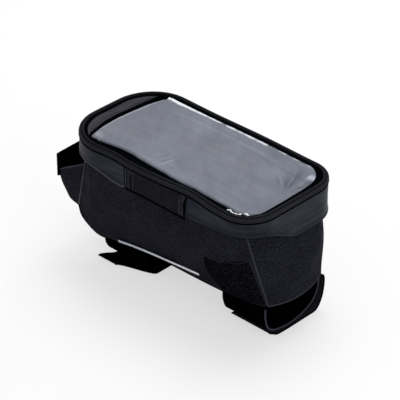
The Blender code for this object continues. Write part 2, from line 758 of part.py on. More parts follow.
def make_lower_zip(finishes, slide):
    """The bag's half of the zip, and the slider with its soft pull."""
    tape = strip_profile(ZIP_INSET, ZIP_TAPE_THICKNESS, LOWER_TAPE_DROP, ZIP_LOWER_TAPE)
    around("lower_zip_tape", finishes["fabric"], tape, zip_route, closed=False)
    chain = strip_profile(ZIP_INSET, ZIP_CHAIN_THICKNESS, LOWER_CHAIN_DROP, ZIP_CHAIN_HEIGHT)
    around("lower_zip_teeth", finishes["zip"], chain, zip_route, closed=False)

    middle = -LID_WIDTH / 2 + ZIP_INSET
    inside = ZIP_CHAIN_THICKNESS / 2 + SLIDER_CLEARANCE
    outside = inside + SLIDER_PLATE
    top = TOTAL_HEIGHT - UPPER_CHAIN_DROP
    low = TOTAL_HEIGHT - LOWER_CHAIN_DROP - ZIP_CHAIN_HEIGHT
    web_top = top - ZIP_CHAIN_HEIGHT - GAP
    web_low = web_top - ZIP_CHAIN_SPACE + 2 * GAP
    half = (
        (middle - outside, low),
        (middle - inside, low),
        (middle - inside, web_low),
        (middle + inside, web_low),
        (middle + inside, low),
        (middle + outside, low),
        (middle + outside, top),
        (middle + inside, top),
        (middle + inside, web_top),
        (middle - inside, web_top),
        (middle - inside, top),
        (middle - outside, top),
    )
    front = LID_X + SLIDER_X - SLIDER_LENGTH / 2
    prism("zip_slider", finishes["metal"], half, front, front + SLIDER_LENGTH, "x", slide)

    outer = middle - outside - GAP - PULL_THICKNESS
    centre = (web_top + web_low) / 2
    pull = (
        (outer, centre - PULL_WIDTH / 2),
        (outer + PULL_THICKNESS, centre - PULL_WIDTH / 2),
        (outer + PULL_THICKNESS, centre + PULL_WIDTH / 2),
        (outer, centre + PULL_WIDTH / 2),
    )
    reach = front + SLIDER_LENGTH / 2
    prism("zip_pull", finishes["rubber"], pull, reach - PULL_LENGTH, reach, "x", slide)


def make_tube_straps(finishes):
    """Two straps for the top tube. Each is a loop under the bag with a hooked flap outside it."""
    webbing, hook = finishes["strap"], finishes["hook"]
    rear_loop = ((-31.5, 29.7), (-31, 21), (-26, 11), (-13, 5.8), (6, 5.4), (23, 11), (31.2, 20), (33, 29.7))
    strap("rear_strap_loop", webbing, rear_loop, REAR_STRAP, STRAP_THICKNESS, REAR_STRAP_RISE)
    rear_flap = ((35.5, 29.7), (39.2, 27.5), (39.8, 21), (36.6, 9), (29, 1), (12, 1), (-6, 1), (-21, 2))
    strap("rear_strap_flap", webbing, rear_flap, REAR_STRAP, STRAP_THICKNESS, REAR_STRAP_RISE)
    rear_hook = ((20, 2.8), (0, 2.8), (-12, 2.9), (-19.5, 3.6))
    strap("rear_hook_pad", hook, rear_hook, inset_by(REAR_STRAP, 4 * MM), HOOK_THICKNESS)

    front_loop = ((-35, 24.5), (-33.5, 17), (-27, 9), (-14, 5.4), (6, 5.4), (23, 9.5), (31.5, 17), (33.5, 24.5))
    strap("front_strap_loop", webbing, front_loop, FRONT_STRAP, STRAP_THICKNESS, FRONT_STRAP_RISE)
    front_flap = ((36.1, 24.5), (35.6, 17), (33, 7), (27, 1), (5, 1), (-16, 1), (-24, 1), (-36, 1.6))
    points = smooth([(0, y * MM, z * MM) for y, z in front_flap])
    front_edge = []
    rear_edge = []
    top = max(point.z for point in points)
    for point in points:
        height = max(point.z, STRAP_THICKNESS / 2)
        slope = FRONT_STRAP_RISE * ease(height, top / 2, top)
        taper = ease(-point.y, *TAIL_TAPER)
        front = LID_X + FRONT_STRAP[0] - TAIL_SPREAD * taper
        rear = LID_X + FRONT_STRAP[1] - TAIL_CUT * taper
        front_edge.append(Vector((front, point.y, height)))
        rear_edge.append(Vector((rear, point.y, height + slope)))
    ribbon("front_strap_flap", webbing, front_edge, rear_edge, STRAP_THICKNESS)
    front_hook = ((20, 2.8), (0, 2.8), (-18, 2.8))
    strap("front_hook_pad", hook, front_hook, inset_by(FRONT_STRAP, 4 * MM), HOOK_THICKNESS)


def inset_by(extent, margin):
    """A pair of x values drawn together by margin at each end."""
    return extent[0] + margin, extent[1] - margin


def make_head_strap(finishes):
    """A fabric wing at each front seam and the band that joins them round the head tube."""
    top_edge = ((0, 36.9, 87), (0.42, 38.5, 80.5), (0.74, 38.6, 75.5), (1, 38, 71))
    low_edge = ((0, 40, 46.5), (0.46, 39.4, 50), (0.81, 38.8, 59.5), (1, 38, 66))
    for word, side in (("left", -1), ("right", 1)):
        top = wing_edge(top_edge, WING_SEAM_TOP, side)
        low = wing_edge(low_edge, WING_SEAM_LOW, side)
        ribbon(f"head_strap_{word}_wing", finishes["fabric"], top, low, WING_THICKNESS)
    low = []
    high = []
    for share in shares(-1, 1, ACROSS_COLUMNS):
        x = LID_X - FRONT_REACH + BAND_THICKNESS / 2 + BAND_BOW * share * share
        low.append(Vector((x, share * BAND_HALF_LENGTH, BAND_LOW)))
        high.append(Vector((x, share * BAND_HALF_LENGTH, BAND_HIGH)))
    ribbon("head_strap_band", finishes["strap"], low, high, BAND_THICKNESS)


def wing_edge(edge, seam, side):
    """An edge of a wing, from (share, y, z) with y and z in mm: the share runs from the seam to
    the band."""
    band = -FRONT_REACH + WING_END
    return [
        Vector((LID_X + seam + (band - seam) * share, side * y * MM, z * MM))
        for share, y, z in edge
    ]


def empty(name, location):
    """An empty on a joint's axis, to carry what moves there."""
    made = bpy.data.objects.new(name, None)
    made.location = location
    bpy.context.scene.collection.objects.link(made)
    return made


def main():
    for thing in list(bpy.data.objects):
        bpy.data.objects.remove(thing)
    finishes = {
        "fabric": material("charcoal_fabric", (32, 33, 38), 0.9),
        "coated": material("coated_fabric", (44, 48, 56), 0.45),
        "trim": material("rim_trim", (22, 23, 26), 0.6),
        "film": material("clear_film", (150, 155, 165), 0.12, alpha=0.35),
        "lining": material("grey_lining", (120, 124, 134), 0.8),
        "foam": material("foam", (40, 40, 44), 0.9),
        "board": material("base_board", (25, 25, 27), 0.6),
        "zip": material("zip_coil", (18, 18, 20), 0.4),
        "metal": material("slider_metal", (40, 40, 44), 0.35, metallic=1.0),
        "rubber": material("rubber", (20, 20, 22), 0.7),
        "reflective": material("reflective_tape", (205, 214, 230), 0.3),
        "loop": material("loop_fabric", (12, 12, 15), 0.95),
        "hook": material("hook_tape", (14, 14, 17), 0.8),
        "strap": material("strap_webbing", (16, 17, 20), 0.9),
    }
    make_lid(finishes, empty("lid_hinge_axis", HINGE_AXIS))
    make_walls(finishes)
    make_trim(finishes)
    make_lower_zip(finishes, empty("zip_slide_axis", SLIDER_AXIS))
    make_tube_straps(finishes)
    make_head_strap(finishes)


main()
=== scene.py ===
# %% [markdown]
# A top tube bag is a small padded bag that straps onto a bicycle's top tube, just behind the stem.
# Its lid holds a phone under clear film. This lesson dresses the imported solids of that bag: it
# makes every soft piece again as a fine mesh, and gives every surface a procedural finish.
# The solids already stand in metres in one shared frame, so nothing has to be moved or fitted.

# %% Load the frame
import math

import bpy
import numpy as np
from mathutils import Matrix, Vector, noise


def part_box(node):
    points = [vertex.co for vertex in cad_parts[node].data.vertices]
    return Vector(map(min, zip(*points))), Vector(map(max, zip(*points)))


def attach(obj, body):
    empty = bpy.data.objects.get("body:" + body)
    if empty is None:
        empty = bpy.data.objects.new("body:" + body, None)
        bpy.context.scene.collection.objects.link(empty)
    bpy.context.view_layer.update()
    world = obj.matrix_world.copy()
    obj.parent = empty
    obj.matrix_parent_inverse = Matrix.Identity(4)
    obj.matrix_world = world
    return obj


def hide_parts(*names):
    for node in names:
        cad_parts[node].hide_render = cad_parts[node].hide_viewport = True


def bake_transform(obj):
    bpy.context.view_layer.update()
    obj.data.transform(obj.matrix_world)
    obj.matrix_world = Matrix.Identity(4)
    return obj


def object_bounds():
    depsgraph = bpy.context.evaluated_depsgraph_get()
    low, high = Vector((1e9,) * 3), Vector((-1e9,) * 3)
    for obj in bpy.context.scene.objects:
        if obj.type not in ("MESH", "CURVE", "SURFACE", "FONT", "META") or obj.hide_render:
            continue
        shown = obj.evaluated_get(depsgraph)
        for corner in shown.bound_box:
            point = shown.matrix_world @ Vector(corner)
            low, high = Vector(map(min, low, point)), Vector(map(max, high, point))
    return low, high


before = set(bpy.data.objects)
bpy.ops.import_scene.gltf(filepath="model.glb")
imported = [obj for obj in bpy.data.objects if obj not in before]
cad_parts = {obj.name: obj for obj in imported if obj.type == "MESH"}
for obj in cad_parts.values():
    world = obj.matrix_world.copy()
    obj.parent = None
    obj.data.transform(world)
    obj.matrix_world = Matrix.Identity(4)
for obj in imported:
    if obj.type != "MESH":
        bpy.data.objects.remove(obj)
cad_low, cad_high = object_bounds()
MM = 0.001

# %% [markdown]
# The photograph was taken from the left rear, about 32 degrees above the horizon, through a long
# lens. The camera stands at that angle, two metres off, and aims a little under the lid, where
# the middle of the picture lies, so it needs no lens shift.

# %% Camera
LID_LOW, LID_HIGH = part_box("lid_piping")
LID_MIDDLE = Vector(((LID_LOW.x + LID_HIGH.x) / 2, 0, cad_high.z))
PHOTO_WIDTH = 400
PIXELS_PER_MM = 1.235
LID_MIDDLE_PIXEL = (198.9, 150.1)
AZIMUTH = math.radians(43.5)
ELEVATION = math.radians(31.6)
DISTANCE = 2.0
SENSOR = 36


def aim_camera():
    """Puts the lid's middle where the photograph has it."""
    back = Vector(
        (
            math.sin(AZIMUTH) * math.cos(ELEVATION),
            -math.cos(AZIMUTH) * math.cos(ELEVATION),
            math.sin(ELEVATION),
        )
    )
    right = Vector((math.cos(AZIMUTH), math.sin(AZIMUTH), 0))
    up = back.cross(right)
    across = (PHOTO_WIDTH / 2 - LID_MIDDLE_PIXEL[0]) / PIXELS_PER_MM * MM
    down = (PHOTO_WIDTH / 2 - LID_MIDDLE_PIXEL[1]) / PIXELS_PER_MM * MM
    place = LID_MIDDLE + back * DISTANCE
    target = LID_MIDDLE + right * across - up * down
    lens = bpy.data.cameras.new("photo_camera")
    lens.sensor_width = SENSOR
    lens.lens = PIXELS_PER_MM * SENSOR / PHOTO_WIDTH * DISTANCE / MM
    lens.clip_start = 0.1
    lens.clip_end = 20
    camera = bpy.data.objects.new("photo_camera", lens)
    bpy.context.scene.collection.objects.link(camera)
    camera.location = place
    camera.rotation_mode = "QUATERNION"
    camera.rotation_quaternion = (target - place).to_track_quat("-Z", "Y")
    bpy.context.scene.camera = camera
    return lens


print("lens:", round(aim_camera().lens, 1), "mm")

# %% [markdown]
# Shader maths reads best as Python expressions. A Wire wraps a socket, and each operator on it
# adds one Math node. A Finish is one material: it makes nodes, mixes colours and feeds the
# Principled shader. Every sheet below carries a "cloth" attribute, its own length and width in
# millimetres, so that weaves and ribs run with the fabric round every corner.


# %% Shader maths
class Wire:
    """A value on its way through a material. Operators add Math nodes."""

    def __init__(self, finish, socket):
        self.finish = finish
        self.socket = socket

    def math(self, operation, *values):
        settings = {"operation": operation}
        return self.finish.node("ShaderNodeMath", settings, dict(enumerate(values)))

    def __add__(self, other):
        return self.math("ADD", self, other)

    __radd__ = __add__

    def __mul__(self, other):
        return self.math("MULTIPLY", self, other)

    __rmul__ = __mul__

    def __sub__(self, other):
        return self.math("SUBTRACT", self, other)

    def __rsub__(self, other):
        return self.math("SUBTRACT", other, self)

    def __truediv__(self, other):
        return self.math("DIVIDE", self, other)

    def wave(self, period):
        """Swings between -1 and 1, once in each period."""
        return self.math("SINE", self * (2 * math.pi / period))

    def size(self):
        return self.math("ABSOLUTE", self)

    def ramp(self, low, high):
        """0 at low and 1 at high, clamped."""
        sockets = {"Value": self, "From Min": low, "From Max": high}
        return self.finish.node("ShaderNodeMapRange", {"clamp": True}, sockets)


def tone(code):
    """A colour as it looks on screen, written #rrggbb, in Blender's linear numbers."""
    parts = [int(code[at : at + 2], 16) / 255 for at in (1, 3, 5)]
    linear = [p / 12.92 if p <= 0.04045 else ((p + 0.055) / 1.055) ** 2.4 for p in parts]
    return (*linear, 1.0)


class Finish:
    """One material with a Principled shader. Values that don't vary are set on its sockets."""

    def __init__(self, name, **plain):
        self.material = bpy.data.materials.new(name)
        self.material.use_nodes = True
        self.tree = self.material.node_tree
        self.shader = self.tree.nodes["Principled BSDF"]
        for key, value in plain.items():
            self.shader.inputs[key.replace("_", " ")].default_value = value

    def node(self, kind, settings=None, sockets=None, output=0):
        """Adds any node: its settings first, then the values or wires of its sockets."""
        made = self.tree.nodes.new(kind)
        for key, value in (settings or {}).items():
            setattr(made, key, value)
        for key, value in (sockets or {}).items():
            if isinstance(value, Wire):
                self.tree.links.new(value.socket, made.inputs[key])
            else:
                made.inputs[key].default_value = value
        return Wire(self, made.outputs[output])

    def cloth(self):
        """The fabric's own length and width, in millimetres."""
        place = self.node("ShaderNodeAttribute", {"attribute_name": "cloth"}, output="Vector")
        return [self.node("ShaderNodeSeparateXYZ", None, {0: place}, axis) for axis in (0, 1)]

    def place(self):
        """The point in the shared frame, in millimetres, as three wires."""
        point = self.node("ShaderNodeTexCoord", output="Object")
        return [self.node("ShaderNodeSeparateXYZ", None, {0: point}, axis) / MM for axis in (0, 1, 2)]

    def cloud(self, x, y, z=0.0, detail=2.0, roughness=0.5):
        """Noise between 0 and 1 over three coordinates."""
        point = self.node("ShaderNodeCombineXYZ", None, {0: x, 1: y, 2: z})
        sockets = {"Vector": point, "Scale": 1.0, "Detail": detail, "Roughness": roughness}
        return self.node("ShaderNodeTexNoise", None, sockets, "Fac")

    def mix(self, share, low, high):
        """A colour between two others."""
        settings = {"data_type": "RGBA"}
        return self.node("ShaderNodeMix", settings, {0: share, 6: low, 7: high}, 2)

    def feed(self, socket, wire):
        self.tree.links.new(wire.socket, self.shader.inputs[socket])

    def bump(self, height, depth):
        """Raises the surface by height, which runs from 0 to 1, times depth in millimetres."""
        sockets = {"Height": height, "Distance": depth * MM, "Strength": 1.0}
        self.feed("Normal", self.node("ShaderNodeBump", None, sockets, "Normal"))


print("shader helpers ready")

# %% [markdown]
# The body fabric is a charcoal melange: threads of two near-black greys in a plain weave about
# half a millimetre across. A photograph or an image texture would fix the scale and repeat. Noise
# stretched along the threads gives the streaks instead, and two crossed waves give the weave.


# %% Woven fabrics
def woven(name, dark, light, period, streak, roughness, depth, gloss=0.03, painted_gathers=()):
    """A plain weave of two greys, streaked along its threads. Painted gathers are stretches of pleats
    painted into the colour: painted highlight on their ridges, painted shade in their valleys.
    """
    finish = Finish(name, Roughness=roughness, Specular_IOR_Level=gloss)
    along, across = finish.cloth()
    upright = finish.cloud(along / streak, across / (streak * 3), 3.0, 3.0, 0.6)
    level = finish.cloud(along / (streak * 3), across / streak, 9.0, 3.0, 0.6)
    patches = finish.cloud(along / 16, across / 26, 5.0, 3.0, 0.6)
    heather = upright * 0.6 + level * 0.4
    share = (heather * 0.9 + patches * 0.12).ramp(0.42, 0.62)
    colour = finish.mix(share, tone(dark), tone(light))
    # Each gather is painted: a painted highlight on each pleat's ridge and painted shade in each valley.
    for start, stop in painted_gathers:
        inside = (along - start).ramp(0, 1.5) * (along * -1 + stop).ramp(0, 1.5)
        pleats = (along + upright * 0.8).wave(2.1)
        colour = finish.mix(inside * pleats.ramp(0.1, 0.9) * 0.55, colour, tone("#494b53"))
        colour = finish.mix(inside * pleats.ramp(-0.1, -0.9) * 0.7, colour, tone("#040407"))
    finish.feed("Base Color", colour)
    weave = along.wave(period) * across.wave(period) * 0.5 + 0.5
    finish.bump(weave * 0.7 + heather * 0.6, depth)
    finish.feed("Roughness", roughness - share * 0.12)
    return finish.material


HINGE_PAINTED_GATHERS = ((2, 13), (60, 70))
CHARCOAL = woven("charcoal_fabric", "#08090d", "#2b2c36", 0.7, 0.7, 0.86, 0.10)
HINGE_CLOTH = woven("hinge_fabric", "#06070a", "#27282f", 0.6, 0.6, 0.86, 0.10, painted_gathers=HINGE_PAINTED_GATHERS)
BORDER_CLOTH = woven("border_fabric", "#010204", "#070a10", 0.8, 0.5, 0.8, 0.06, 0.0)
LINING_CLOTH = woven("grey_lining", "#5c5f68", "#7d818b", 0.35, 0.6, 0.7, 0.03, 0.2)
ZIP_TAPE = woven("zip_tape", "#060608", "#101114", 0.8, 0.5, 0.8, 0.10)
print("woven fabrics:", 5)

# %% [markdown]
# The skirt and the front band are another cloth: smooth, coated and a little blue. It shows fine lengthwise
# creases and a satin light, so its bump is long, low noise and its roughness is lower, and its colour is
# lighter along the creases: a painted sheen.


# %% Coated cloth
def coated(name, dark, light, roughness):
    """A smooth coated cloth with fine creases along its length."""
    finish = Finish(name, Roughness=roughness, Specular_IOR_Level=0.09)
    along, across = finish.cloth()
    crease = finish.cloud(along / 38, across / 1.7, 1.0, 3.0, 0.55)
    grain = finish.cloud(along / 0.4, across / 0.4, 2.0, 1.0)
    patches = finish.cloud(along / 15, across / 7, 7.0)
    # Lighter along the creases: painted sheen, mixed with patches of tone.
    share = (patches * 0.4 + crease * 0.7).ramp(0.38, 0.72)
    finish.feed("Base Color", finish.mix(share, tone(dark), tone(light)))
    finish.feed("Roughness", roughness + grain * 0.15 - crease * 0.08)
    finish.bump(crease * 0.8 + grain * 0.15, 0.22)
    return finish.material


SKIRT_CLOTH = coated("coated_fabric", "#10131a", "#282c37", 0.44)
BAND_CLOTH = coated("front_band_fabric", "#27282f", "#393a41", 0.5)
print("coated cloths:", 2)

# %% [markdown]
# Binding tape and webbing are ribbed: each rib is one weft thread. The ribs cross the tape, so they are a
# wave along its length, rounded and broken up by a little noise. The colour is lighter on each rib and
# darker between them: painted highlight and painted shade.


# %% Ribbed tapes
def ribbed(name, dark, light, pitch, roughness, depth, gloss=0.05):
    """A tape with a rib across it at each pitch."""
    finish = Finish(name, Roughness=roughness, Specular_IOR_Level=gloss)
    along, across = finish.cloth()
    wander = finish.cloud(along / 3, across / 3, 4.0)
    ribs = (along + wander * 0.5 * pitch).wave(pitch) * 0.5 + 0.5
    fuzz = finish.cloud(along / 0.5, across / 1.6, 6.0, 3.0, 0.6)
    # Lighter on the ribs, darker between them: painted highlight and painted shade.
    share = (ribs * 0.5 + fuzz * 0.7).ramp(0.2, 1.0)
    finish.feed("Base Color", finish.mix(share, tone(dark), tone(light)))
    finish.bump(ribs + fuzz * 0.3, depth)
    return finish.material


RIM_TAPE = ribbed("rim_trim", "#131417", "#2c2d33", 0.9, 0.6, 0.10)
BLACK_TAPE = ribbed("black_binding", "#020203", "#09090c", 0.9, 0.75, 0.10, 0.0)
WEBBING = ribbed("strap_webbing", "#121317", "#30323a", 1.1, 0.85, 0.14)
# A paler tape for seam ridges and woven edges: a painted highlight.
SEAM_HIGHLIGHT_TAPE = ribbed("selvedge_painted_highlight", "#24252b", "#44464e", 1.1, 0.8, 0.12)
# A paler tape for lit hems and seams: a painted highlight.
HEM_HIGHLIGHT_TAPE = ribbed("hem_painted_highlight", "#3c3d44", "#5e6068", 0.9, 0.8, 0.10)
print("ribbed tapes:", 5)

# %% [markdown]
# Hook-and-loop tape has a deep black pile with stray fibres that catch the light. The pile here is strong,
# fine bump with sparse pale specks in the colour: painted highlights for those fibres.


# %% Pile, rubber, thread and the other finishes
def pile(name, dark, glint_colour, size, depth, roughness=0.95):
    """Black pile with sparse pale specks, painted highlights where fibre ends catch the light."""
    finish = Finish(name, Roughness=roughness, Specular_IOR_Level=0.0)
    along, across = finish.cloth()
    tufts = finish.cloud(along / size, across / size, 1.0, 4.0, 0.7)
    sparse = finish.cloud(along / (size * 0.6), across / (size * 1.6), 8.0, 2.0, 0.6)
    # Pale specks on the tufts: painted highlights.
    share = (tufts * 0.5 + sparse * 0.6).ramp(0.58, 0.76)
    finish.feed("Base Color", finish.mix(share, tone(dark), tone(glint_colour)))
    finish.bump(tufts + sparse * 0.5, depth)
    return finish.material


def solid_grain(name, dark, light, size, roughness, depth, **plain):
    """A moulded or foamed finish with grain in all three directions."""
    finish = Finish(name, Roughness=roughness, **plain)
    x, y, z = finish.place()
    grain = finish.cloud(x / size, y / size, z / size, 4.0, 0.6)
    patches = finish.cloud(x / (size * 14), y / (size * 14), z / (size * 14))
    share = (grain * 0.6 + patches * 0.5).ramp(0.3, 0.8)
    finish.feed("Base Color", finish.mix(share, tone(dark), tone(light)))
    finish.feed("Roughness", roughness + grain * 0.16 - 0.08)
    finish.bump(grain, depth)
    return finish.material


LOOP_PILE = pile("loop_fabric", "#020204", "#50525e", 0.9, 0.3)
HOOKS = pile("hook_tape", "#040405", "#26272b", 0.5, 0.3, 0.6)
STRAP_PILE = pile("strap_pile", "#010102", "#0f1014", 0.8, 0.3)
FOAM = solid_grain("foam", "#131418", "#24252a", 0.7, 0.85, 0.12, Specular_IOR_Level=0.1)
RUBBER = solid_grain("rubber", "#08080a", "#131417", 0.5, 0.6, 0.08, Specular_IOR_Level=0.3)
COIL = solid_grain("zip_coil", "#0a0a0c", "#161619", 0.6, 0.38, 0.02, Coat_Weight=0.1)
SLIDER_METAL = solid_grain("slider_metal", "#202124", "#3a3b40", 0.8, 0.34, 0.02, Metallic=0.9)
THREAD_GLOSS = 0.1
DARK_THREAD = solid_grain(
    "dark_thread", "#0c0d10", "#202127", 0.3, 0.75, 0.04, Specular_IOR_Level=THREAD_GLOSS
)
print("other finishes:", 8)

# %% [markdown]
# The reflective tape is a pale, bluish grey that turns nearly white towards its rear end, a painted
# highlight, with a fine honeycomb of glass beads under a gloss coat.

# %% Reflective tape and clear film
def reflective_finish():
    finish = Finish("reflective_tape", Roughness=0.3, Coat_Weight=0.4, Coat_Roughness=0.15)
    along, across = finish.cloth()
    beads = along.wave(1.2) * across.wave(1.2) * 0.5 + 0.5
    smear = finish.cloud(along / 9, across / 2, 3.0)
    # Nearly white towards the rear end: a painted highlight.
    share = (along / 95 + smear * 0.25 + beads * 0.08).ramp(0.25, 1.0)
    finish.feed("Base Color", finish.mix(share, tone("#b9c1d2"), tone("#eef0f6")))
    finish.bump(beads, 0.03)
    return finish.material


# The pleats in the film fan out from this place near the rear of the lid.
FAN_X = 99
FAN_Y = 7


def film_finish():
    """Milky clear film. Its haze comes first, then tints and painted shade, then painted highlights and
    shade on folds and edges, and a painted shine, in layers.
    """
    finish = Finish("clear_film", Roughness=0.2, IOR=1.4, Specular_IOR_Level=0.25)
    x, y, _ = finish.place()
    along, across = finish.cloth()
    clouds = finish.cloud(x / 40, y / 28, 2.0, 2.0, 0.5)
    veil = finish.cloud(x / 11, y / 9, 21.0, 4.0, 0.6)
    streaks = finish.cloud(x / 60, y / 5 + veil * 0.6, 6.0, 3.0, 0.55)
    smears = finish.cloud((x + y) / 12, (y - x) / 34, 14.0, 3.0, 0.6)
    fine = finish.cloud(x / 1.5, y / 1.5, 17.0, 2.0, 0.6)
    haze = (clouds * 0.45 + streaks * 0.2 + smears * 0.3 + fine * 0.12 - 0.03).ramp(0.34, 0.66)
    warm = finish.cloud(x / 20, y / 26, 11.0, 2.0).ramp(0.5, 0.75)
    left = (veil * 14 - y).ramp(26, 44) * (x + 75).ramp(0, 30)
    # Darker at the rear among the smears and towards the front: painted shade.
    rear = (x - y * 0.4).ramp(62, 96) * (smears * 1.4).ramp(0.5, 0.9)
    ahead = (x * -1).ramp(15, 85)

    # Pleats fan out from one point: painted shade in the valleys, and painted highlights on the ridges
    # between them.
    spread = (x - FAN_X) / ((y - FAN_Y).size() + 6) * 2.6
    fan_light_and_shade = finish.cloud(spread + fine * 0.2 + veil * 0.5, 2.0, 5.0, 2.0, 0.6)
    fan = (x - 77).ramp(0, 12) * (y - 4).ramp(0, 9) * (43 - y).ramp(0, 16)

    # A broken painted shine lies on the near side, and painted highlights on the crumple in the front left
    # corner.
    lean = x * 0.957 - y * 0.288
    glimmer = finish.cloud(lean / 2.6, (x * 0.288 + y * 0.957) / 20, 31.0, 2.0).ramp(0.5, 0.7)
    near_shine = (lean - 1.5).size().ramp(13, 5) * (y + 25).size().ramp(15, 7)
    crumple = (streaks * 0.6 + fine * 0.4).ramp(0.42, 0.58)
    corner = (x * -1).ramp(64, 74) * (y * -1).ramp(20, 32) * crumple

    # Two creases run along the far side: one a painted highlight, one painted shade.
    crease_highlight = (y - x * 0.02 - 33.5 + veil).size().ramp(0.9, 0.2)
    crease_highlight = crease_highlight * (x + 60).ramp(0, 12) * (60 - x).ramp(0, 14)
    crease_shade = (y + x * 0.05 - 30.0 - veil * 2).size().ramp(1.0, 0.2) * (x - 18).ramp(0, 14)

    # The edges: painted shade on the left, and painted highlights at the front, along the far side and on
    # the fan's lip.
    shade = (across + veil * 3).ramp(5.2, 1.0)
    front = (along + veil * 1.4).ramp(3.4, 1.4)
    far_highlight_breaks = (finish.cloud(x / 14, 3.0, 5.0) - x * 0.0016).ramp(0.36, 0.56)
    far = (y + veil * 2.2 - x * 0.008).ramp(44.0, 45.0) * far_highlight_breaks
    lip_highlight = (x + veil - 96.8).ramp(0, 0.9) * (y - 29).ramp(0, 3) * (y * -1 + 38).ramp(0, 3)

    layers = (
        (warm * 0.3, "#7f7d7c"),
        (left * 0.2, "#747c8b"),
        (rear * 0.2, "#666b76"),
        (ahead * 0.4, "#6c6e78"),
        (fan * fan_light_and_shade.ramp(0.44, 0.62) * 0.75, "#3c414c"),
        (fan * fan_light_and_shade.ramp(0.42, 0.34) * 0.25, "#9fa4af"),
        (near_shine * glimmer * 0.5, "#a2a7b1"),
        (corner * 0.5, "#a9acb5"),
        (crease_highlight * 0.3, "#9298a3"),
        (crease_shade * 0.5, "#5a5f6b"),
        (shade, "#12161c"),
        (front * 0.6, "#b4b7bf"),
        (far * 0.95, "#e6e9ee"),
        (lip_highlight * 0.7, "#b9c0cc"),
    )
    grey = finish.mix(haze, tone("#696d79"), tone("#7f838f"))
    for amount, code in layers:
        grey = finish.mix(amount, grey, tone(code))
    finish.feed("Base Color", grey)
    finish.feed("Roughness", smears * 0.2 + 0.12)
    finish.bump(veil * 0.5 + smears * 0.5, 0.3)
    finish.feed("Alpha", haze * 0.05 + 0.9)
    return finish.material


REFLECTIVE = reflective_finish()
FILM = film_finish()
print("film and tape ready")

# %% [markdown]
# All shapes are worked out in millimetres as numpy grids and turned into meshes here. A sheet is
# a grid with rows and columns. A sweep is a closed outline carried along a route. Each stores its
# own length and width as the "cloth" attribute before a modifier gives it thickness.


# %% Mesh helpers
def unit(vectors):
    """Vectors of length 1."""
    return vectors / np.maximum(np.linalg.norm(vectors, axis=-1, keepdims=True), 1e-9)


def grid_faces(rows, columns, wrap_rows=False, wrap_columns=False):
    """The quads between neighbouring points of a grid."""
    faces = []
    for row in range(rows if wrap_rows else rows - 1):
        after = (row + 1) % rows
        for column in range(columns if wrap_columns else columns - 1):
            beside = (column + 1) % columns
            here = row * columns
            there = after * columns
            faces.append((here + column, here + beside, there + beside, there + column))
    return faces


def cloth_lengths(grid):
    """How far each point lies along its column and its row, in millimetres."""
    down = np.zeros(grid.shape[:2])
    across = np.zeros(grid.shape[:2])
    down[1:] = np.cumsum(np.linalg.norm(np.diff(grid, axis=0), axis=2), axis=0)
    across[:, 1:] = np.cumsum(np.linalg.norm(np.diff(grid, axis=1), axis=2), axis=1)
    return across, down


def new_mesh(name, points, faces, finish, cloth=None):
    """An object from points in millimetres."""
    points = np.asarray(points, float)
    mesh = bpy.data.meshes.new(name)
    mesh.from_pydata((points * MM).tolist(), [], faces)
    mesh.materials.append(finish)
    mesh.shade_smooth()
    attribute = mesh.attributes.new("cloth", "FLOAT_VECTOR", "POINT")
    values = points if cloth is None else np.c_[cloth, np.zeros(len(points))]
    attribute.data.foreach_set("vector", np.asarray(values, np.float32).ravel())
    made = bpy.data.objects.new(name, mesh)
    bpy.context.scene.collection.objects.link(made)
    return made


def smooth_surface(made, levels=1):
    """Adds subdivision, the same in the viewport and the render."""
    smoother = made.modifiers.new("smooth", "SUBSURF")
    smoother.levels = levels
    smoother.render_levels = levels
    return made


def thicken(made, thickness, offset=0.0):
    """Gives a sheet its thickness, in millimetres."""
    shell = made.modifiers.new("thickness", "SOLIDIFY")
    shell.thickness = thickness * MM
    shell.offset = offset
    return made


def sheet(name, grid, finish, thickness=0.0, offset=0.0, levels=1, wrap=False):
    """A grid of points as cloth, with its length and width stored."""
    rows, columns = grid.shape[:2]
    across, down = cloth_lengths(grid)
    faces = grid_faces(rows, columns, wrap_columns=wrap)
    made = new_mesh(name, grid.reshape(-1, 3), faces, finish, np.c_[across.ravel(), down.ravel()])
    if thickness:
        thicken(made, thickness, offset)
    if levels:
        smooth_surface(made, levels)
    return made


def swept(name, sections, finish, closed=False, levels=0):
    """An outline carried along a route: sections has the shape (route, outline, 3)."""
    rows, columns = sections.shape[:2]
    faces = grid_faces(rows, columns, closed, True)
    if not closed:
        faces.append(tuple(range(columns - 1, -1, -1)))
        faces.append(tuple((rows - 1) * columns + side for side in range(columns)))
    across, down = cloth_lengths(sections)
    cloth = np.c_[down.ravel(), across.ravel()]
    made = new_mesh(name, sections.reshape(-1, 3), faces, finish, cloth)
    if levels:
        smooth_surface(made, levels)
    return made


def grid_of(x, y, z=0.0):
    """A grid of points from its coordinates, each stretched to the same shape."""
    return np.stack(np.broadcast_arrays(x, y, z), -1).astype(float)


def soft_step(before, start, end, after, t):
    """A smooth curve from start to end as t runs from 0 to 1, led by the point on each side."""
    return 0.5 * (
        2 * start
        + (end - before) * t
        + (2 * before - 5 * start + 4 * end - after) * t**2
        + (3 * start - before - 3 * end + after) * t**3
    )


def curve(points, step):
    """A soft line through a few points, read off at even steps in millimetres."""
    points = np.asarray(points, float)
    padded = np.vstack([2 * points[0] - points[1], points, 2 * points[-1] - points[-2]])
    t = np.linspace(0, 1, 24, endpoint=False)[:, None]
    dense = [soft_step(*padded[index - 1 : index + 3], t) for index in range(1, len(padded) - 2)]
    return even(np.vstack([*dense, points[-1:]]), step)


